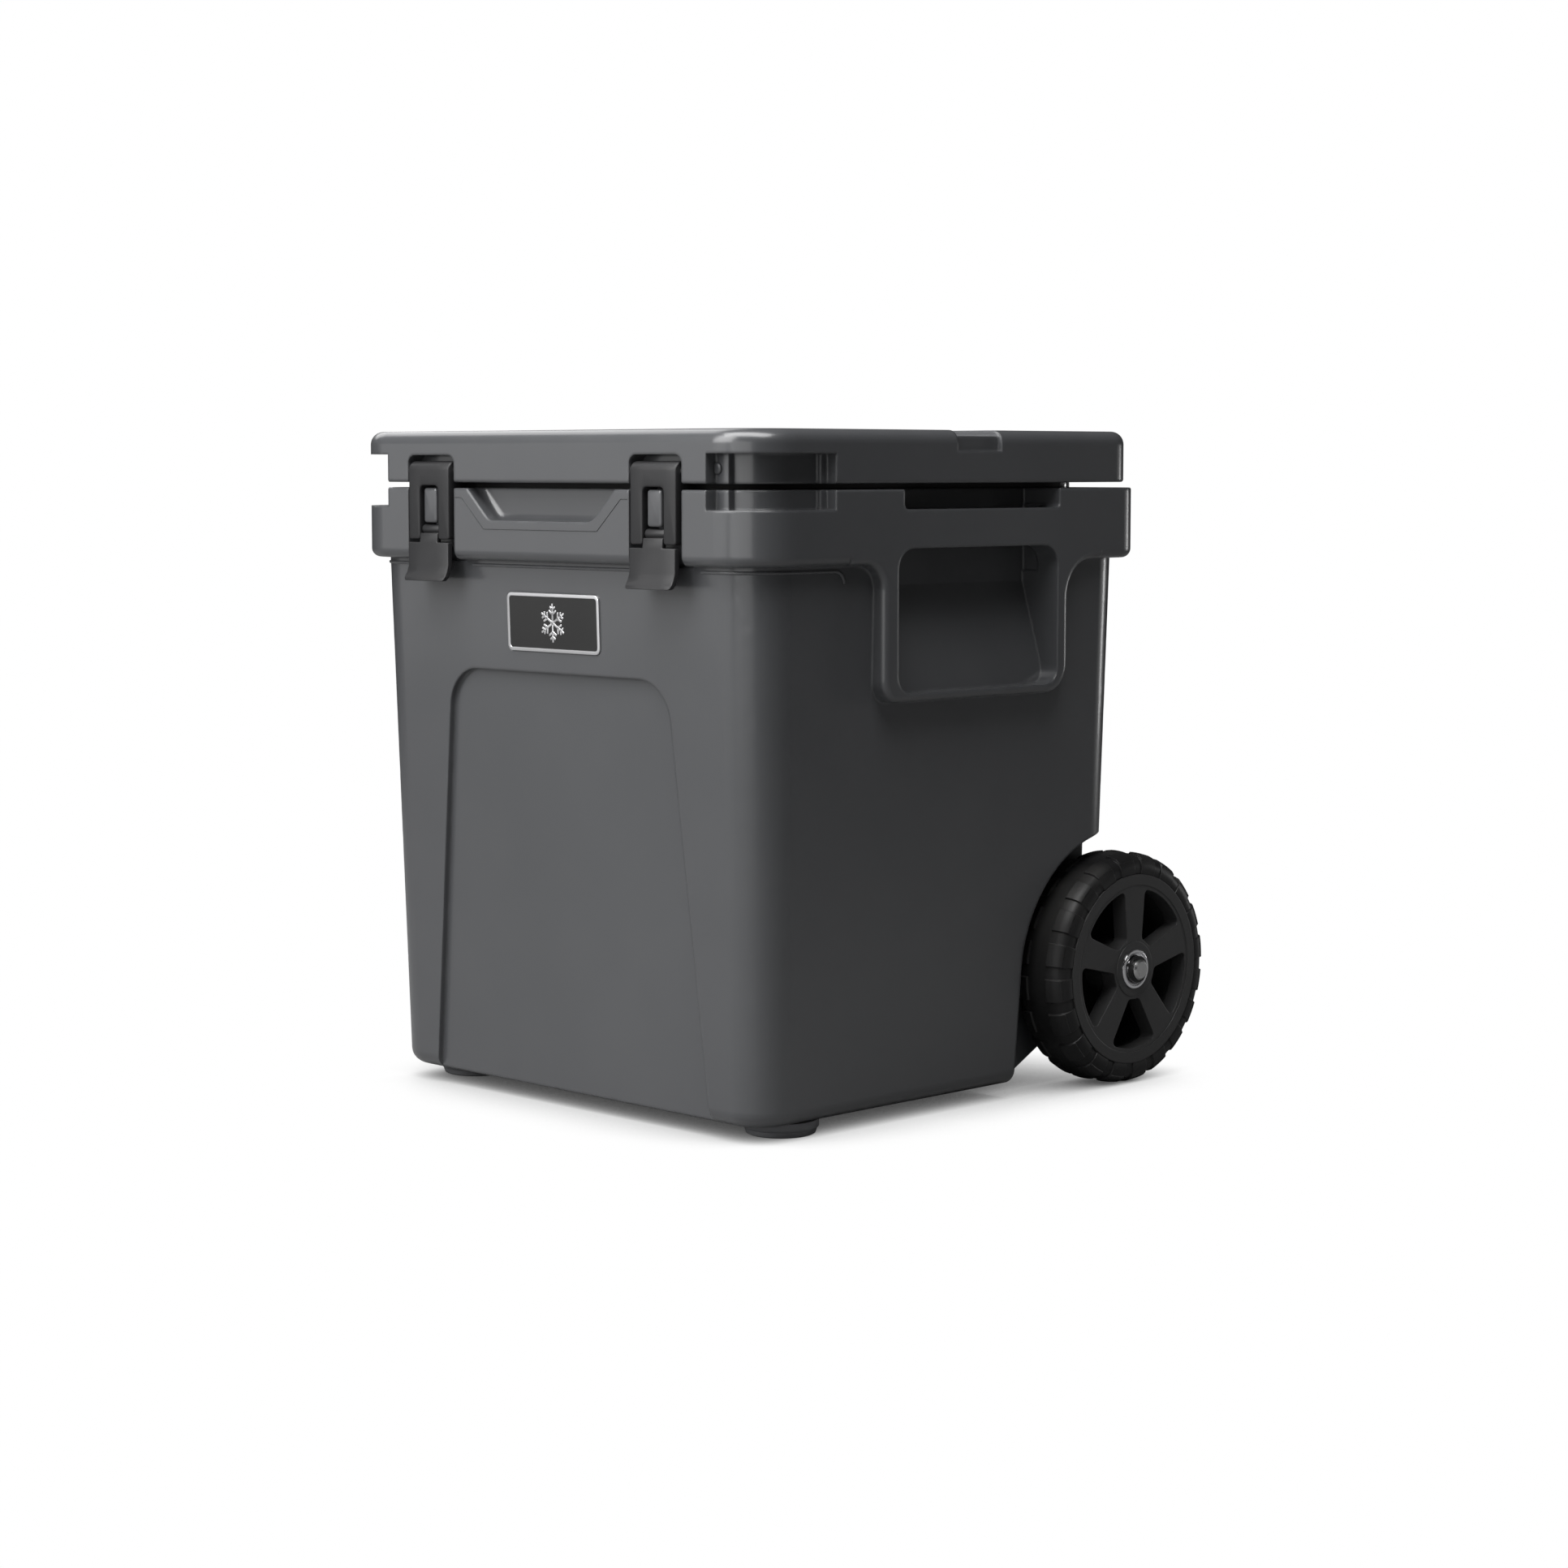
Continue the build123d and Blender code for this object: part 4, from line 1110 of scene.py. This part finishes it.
# ---- tow handle ---------------------------------------------------------------------------------
@dataclass
class TowHandle:
    """Collars on the tubes, ribs on the grip and socket-head screws in the brackets and axle saddles."""

    rib_count: int = 6
    rib_pitch: float = 8.0 * MM
    rib_reach: float = 0.7 * MM
    rib_width: float = 2.6 * MM
    first_rib: float = 34.0 * MM  # from the grip's middle
    collar_height: float = 9.0 * MM
    screw_radius: float = 5.0 * MM
    screw_height: float = 4.0 * MM

    def build(self, workshop: Workshop) -> None:
        """Makes the handle's fine pieces.

        Args:
            workshop: where the pieces are finished.
        """
        for side in Side:
            self._collar(workshop, side)
            self._ribs(workshop, side)
            self._screws(workshop, f"axle_screws_{side.word}", Vector((0.0, 0.0, 1.0)))
        for place in ("upper", "lower"):
            self._screws(workshop, f"bracket_screws_{place}", Vector((1.0, 0.0, 0.0)))

    def _collar(self, workshop: Workshop, side: Side) -> None:
        """The collar that closes the top of an outer tube round the middle tube.

        Args:
            workshop: where the piece is finished.
            side: the side it is on.
        """
        low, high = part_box(f"handle_outer_tube_{side.word}")
        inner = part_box(f"handle_middle_tube_{side.word}")
        radius, bore = (high.x - low.x) / 2, (inner[1].x - inner[0].x) / 2 + 0.15 * MM
        top = high.z + 1.0 * MM
        profile = [
            (-self.collar_height, radius + 0.1 * MM), (-self.collar_height, radius + 1.2 * MM),
            (-self.collar_height + 0.8 * MM, radius + 2.0 * MM), (-1.2 * MM, radius + 2.0 * MM),
            (0.0, radius + 0.8 * MM), (0.0, bore), (-1.0 * MM, bore), (-1.0 * MM, radius + 0.1 * MM),
        ]
        centre = Vector(((low.x + high.x) / 2, (low.y + high.y) / 2, top))
        mesh = spun(profile, 40, centre, (0.0, 0.0, 1.0))
        workshop.mesh_piece(mesh, f"tube_collar_{side.word}", "tub", (BLACK,))

    def _ribs(self, workshop: Workshop, side: Side) -> None:
        """Raised ribs round the grip, on one side of its button.

        Args:
            workshop: where the piece is finished.
            side: the side they are on.
        """
        low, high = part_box("handle_grip")
        middle = (low + high) / 2
        whole = bmesh.new()
        for number in range(self.rib_count):
            half = ((high.y - low.y) / 2 + self.rib_reach, (high.z - low.z) / 2 + self.rib_reach)
            rib = rounded_slab(half, 9.2 * MM, self.rib_width, 0.8 * MM)
            turn_about(rib, math.radians(90), "Z")
            place = side.value * (self.first_rib + number * self.rib_pitch)
            bmesh.ops.translate(rib, verts=rib.verts, vec=(place, middle.y, middle.z))
            merge_in(whole, rib)
        workshop.mesh_piece(whole, f"grip_ribs_{side.word}", "handle_upper", (BLACK,))

    def _screws(self, workshop: Workshop, node: str, way: Vector) -> None:
        """Two socket-head screws that look back.

        Args:
            workshop: where the pieces are finished.
            node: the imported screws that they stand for.
            way: the direction from the first screw to the second.
        """
        low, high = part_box(node)
        middle = (low + high) / 2
        reach = abs((high - low).dot(way)) / 2 - self.screw_radius
        whole = bmesh.new()
        for end in (-1, 1):
            head = cap_screw(self.screw_radius, self.screw_height)
            turn_about(head, math.radians(-90), "X")
            place = Vector((middle.x, high.y - self.screw_height, middle.z)) + way * end * reach
            bmesh.ops.translate(head, verts=head.verts, vec=place)
            merge_in(whole, head)
        workshop.mesh_piece(whole, f"socket_{node}", "tub", (STEEL,), (node,))


# ---- feet and drain -----------------------------------------------------------------------------
@dataclass
class Foot:
    """One front foot: a flared rubber pad with rings in its tread."""

    side: Side
    bore: float = 5.2 * MM

    def build(self, workshop: Workshop) -> None:
        """Makes the foot.

        Args:
            workshop: where the piece is finished.
        """
        node = f"foot_{self.side.word}"
        low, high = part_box(node)
        radius, height = (high.x - low.x) / 2, high.z - low.z
        profile = [
            (0.0, self.bore), (0.0, radius * 0.42), (1.2 * MM, radius * 0.45), (0.0, radius * 0.5),
            (0.0, radius * 0.6), (1.2 * MM, radius * 0.63), (0.0, radius * 0.68), (0.0, radius - 4.0 * MM),
            (0.8 * MM, radius - 2.4 * MM), (3.0 * MM, radius - 1.6 * MM), (4.4 * MM, radius - 1.4 * MM),
            (5.2 * MM, radius - 0.3 * MM), (6.0 * MM, radius), (height, radius), (height, self.bore),
        ]
        centre = Vector(((low.x + high.x) / 2, (low.y + high.y) / 2, low.z))
        mesh = spun(profile, 56, centre, (0.0, 0.0, 1.0))
        workshop.mesh_piece(mesh, f"ringed_foot_{self.side.word}", "tub", (FOOT,), (node,))


@dataclass
class DrainKnob:
    """The drain stopper's ribbed cap, with a wing to turn it by."""

    ribs: int = 18
    rib_depth: float = 0.9 * MM
    cap: float = 4.7 * MM
    cap_depth: float = 11.0 * MM  # of the cap's face, behind the wing's outer edge
    stem_radius: float = 9.8 * MM
    stem_bore: float = 3.0 * MM
    wing: tuple = (6.4 * MM, 28.0 * MM, 11.5 * MM)  # thickness, width and reach

    def build(self, workshop: Workshop) -> None:
        """Makes the cap and the wing.

        Args:
            workshop: where the piece is finished.
        """
        low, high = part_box("drain_knob")
        middle = (low + high) / 2
        radius = (high.z - low.z) / 2
        outside = low.x
        cap_face = outside + self.cap_depth
        cap = self._cap(radius, cap_face, middle)
        bore, reach = self.stem_bore, self.stem_radius
        stem = [(cap_face, bore), (cap_face, reach), (high.x, reach), (high.x, bore)]
        merge_in(cap, spun(stem, 40, Vector((0.0, middle.y, middle.z))))
        merge_in(cap, self._wing(outside, middle))
        workshop.mesh_piece(cap, "ribbed_drain_knob", "drain_stopper", (BLACK,), ("drain_knob",))

    def _cap(self, radius: float, face: float, middle: Vector) -> bmesh.types.BMesh:
        """The round cap with ribs about its edge.

        Args:
            radius: the cap's radius.
            face: the x of its outer face.
            middle: the stopper's middle.

        Returns:
            The cap.
        """
        mesh = bmesh.new()
        place = Matrix.Translation((face + self.cap / 2, middle.y, middle.z))
        bmesh.ops.create_cone(
            mesh, cap_ends=True, segments=4 * self.ribs, radius1=radius, radius2=radius, depth=self.cap,
            matrix=place @ Matrix.Rotation(math.radians(90), 4, "Y"),
        )
        for vert in mesh.verts:
            out = Vector((0.0, vert.co.y - middle.y, vert.co.z - middle.z))
            number = round(math.atan2(out.z, out.y) / math.tau * 4 * self.ribs)
            if number % 4 in (0, 1):
                vert.co -= out.normalized() * self.rib_depth
        soften(mesh, sharp_edges(mesh, 80.0), 0.5 * MM, 2)
        return mesh

    def _wing(self, outside: float, middle: Vector) -> bmesh.types.BMesh:
        """The upright wing on the cap.

        Args:
            outside: the x of its outer edge.
            middle: the stopper's middle.

        Returns:
            The wing.
        """
        thickness, width, reach = self.wing
        mesh = rounded_slab((reach / 2 + 1.0 * MM, width / 2), 4.0 * MM, thickness, 0.6 * MM)
        back = [edge for edge in sharp_edges(mesh, 80.0) if edge.verts[0].co.y > thickness - TOUCHING]
        soften(mesh, back, 0.6 * MM)
        place = (outside + reach / 2 + 1.0 * MM, middle.y - thickness / 2, middle.z)
        bmesh.ops.translate(mesh, verts=mesh.verts, vec=place)
        return mesh


@dataclass
class Hinges:
    """Domed ends on the two hinge rods."""

    dome: float = 1.4 * MM

    def build(self, workshop: Workshop) -> None:
        """Makes the domes.

        Args:
            workshop: where the pieces are finished.
        """
        for side in Side:
            low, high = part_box(f"hinge_rod_{side.word}")
            middle = (low + high) / 2
            radius = (high.z - low.z) / 2 + 1.0 * MM
            whole = bmesh.new()
            for end, way in ((low.x, -1), (high.x, 1)):
                profile = [
                    (0.0, 0.2 * MM), (0.0, radius), (way * self.dome * 0.5, radius * 0.92),
                    (way * self.dome * 0.85, radius * 0.66), (way * self.dome, radius * 0.2),
                    (way * self.dome, 0.2 * MM),
                ]
                merge_in(whole, spun(profile, 28, Vector((end, middle.y, middle.z))))
            workshop.mesh_piece(whole, f"hinge_rod_domes_{side.word}", "tub", (STEEL,))


# ---- studio -------------------------------------------------------------------------------------
@dataclass(frozen=True)
class SoftBox:
    """One rectangular area light that points at the cooler."""

    name: str
    place: tuple
    target: tuple
    size: tuple
    power: float

    def build(self) -> None:
        """Makes the light."""
        data = bpy.data.lights.new(self.name, "AREA")
        data.shape = "RECTANGLE"
        data.size, data.size_y = self.size
        data.energy = self.power
        lamp = bpy.data.objects.new(self.name, data)
        lamp.location = self.place
        lamp.rotation_euler = (Vector(self.target) - Vector(self.place)).to_track_quat("-Z", "Y").to_euler()
        bpy.context.scene.collection.objects.link(lamp)


@dataclass
class Studio:
    """A pale floor, soft lights and the camera."""

    camera_place: tuple = (1.88135, -1.85357, 0.4853)
    camera_turn: float = 45.31
    camera_dip: float = 5.48
    lens: float = 76.64
    floor_colour: tuple = (0.25, 0.25, 0.25)
    # the floor's painted contact shadow: how far ambient occlusion looks, where it opens to full white, and
    # its darkest
    shadow_reach: float = 0.14
    open_from: float = 0.7
    contact_shade: float = 0.04
    world_light: float = 0.05
    floor_radius: float = 30.0
    lamps: tuple = (
        SoftBox("front_box", (-0.75, -2.6, 1.7), (0.0, 0.0, 0.4), (2.0, 2.0), 86.0),
        SoftBox("front_card", (-1.7, -2.5, 0.45), (0.0, 0.0, 0.42), (2.8, 0.8), 6.5),
        SoftBox("corner_card", (1.0, -2.9, 0.6), (0.0, 0.0, 0.42), (2.2, 1.0), 13.0),
        SoftBox("top_box", (0.3, -0.7, 1.7), (0.05, -0.1, 0.5), (1.8, 0.8), 42.0),
        SoftBox("right_strip", (0.95, 2.6, 0.26), (0.2, 0.2, 0.26), (0.4, 0.48), 4.0),
        SoftBox("left_box", (-1.7, 0.3, 1.75), (-0.1, 0.0, 0.3), (1.5, 1.5), 16.0),
    )

    def build(self) -> None:
        """Makes the whole studio."""
        self._floor()
        self._world()
        for lamp in self.lamps:
            lamp.build()
        self._camera()

    def _floor(self) -> None:
        """A wide round floor with a soft shadow painted close to the cooler."""
        mesh = bmesh.new()
        bmesh.ops.create_circle(mesh, cap_ends=True, segments=96, radius=self.floor_radius)
        data = bpy.data.meshes.new("studio_floor")
        mesh.to_mesh(data)
        mesh.free()
        floor = bpy.data.objects.new("studio_floor", data)
        bpy.context.scene.collection.objects.link(floor)
        data.materials.append(self._floor_material())

    def _floor_material(self) -> bpy.types.Material:
        """White to the camera, with a contact shadow painted from ambient occlusion close under the cooler,
        and matt paint to every other ray.

        Returns:
            The material.
        """
        material = bpy.data.materials.new("Pale floor")
        material.use_nodes = True
        shading = Shading(material.node_tree)
        paint = material.node_tree.nodes["Principled BSDF"]
        paint.inputs["Base Color"].default_value = (*self.floor_colour, 1.0)
        paint.inputs["Roughness"].default_value = 0.8
        paint.inputs["Specular IOR Level"].default_value = 0.1
        # painted shadow: the camera sees a glow whose strength drops where ambient occlusion finds the cooler
        # close by
        cover = shading.node("ShaderNodeAmbientOcclusion", samples=16)
        cover.inputs["Distance"].default_value = self.shadow_reach
        glow = shading.node("ShaderNodeEmission")
        painted_contact_shadow = shading.spread(cover.outputs["AO"], (0.0, self.open_from), (self.contact_shade, 1.0))
        shading.link(painted_contact_shadow, glow.inputs["Strength"])
        mix = shading.node("ShaderNodeMixShader")
        shading.link(shading.node("ShaderNodeLightPath").outputs["Is Camera Ray"], mix.inputs[0])
        shading.link(paint.outputs[0], mix.inputs[1])
        shading.link(glow.outputs[0], mix.inputs[2])
        shading.link(mix.outputs[0], material.node_tree.nodes["Material Output"].inputs["Surface"])
        return material

    def _world(self) -> None:
        """White to the camera, dimmer as a light, so that gloss stays controlled."""
        world = bpy.data.worlds.new("Studio white")
        bpy.context.scene.world = world
        world.use_nodes = True
        shading = Shading(world.node_tree)
        background = world.node_tree.nodes["Background"]
        background.inputs["Color"].default_value = (1.0, 1.0, 1.0, 1.0)
        path = shading.node("ShaderNodeLightPath")
        strength = shading.spread(path.outputs["Is Camera Ray"], (0.0, 1.0), (self.world_light, 1.0))
        shading.link(strength, background.inputs["Strength"])

    def _camera(self) -> None:
        """The camera, low and to the right of the front."""
        data = bpy.data.cameras.new("camera")
        data.sensor_width = 36.0
        data.lens = self.lens
        camera = bpy.data.objects.new("camera", data)
        camera.location = self.camera_place
        camera.rotation_euler = (math.radians(90 - self.camera_dip), 0.0, math.radians(self.camera_turn))
        bpy.context.scene.collection.objects.link(camera)
        bpy.context.scene.camera = camera


def main() -> None:
    """Builds the studio, paints the frame and makes the fine pieces."""
    logging.basicConfig(level=logging.INFO, format="%(name)s: %(message)s")
    bpy.context.scene.view_settings.view_transform = "Standard"
    Studio().build()
    workshop = Workshop()
    workshop.paint_frame()
    for side in Side:
        Wheel(side).build(workshop)
        Latch(side).build(workshop)
        Foot(side).build(workshop)
    for assembly in (Nameplate(), ShellTrim(), TowHandle(), DrainKnob(), Hinges()):
        assembly.build(workshop)


if __name__ == "__main__":
    main()
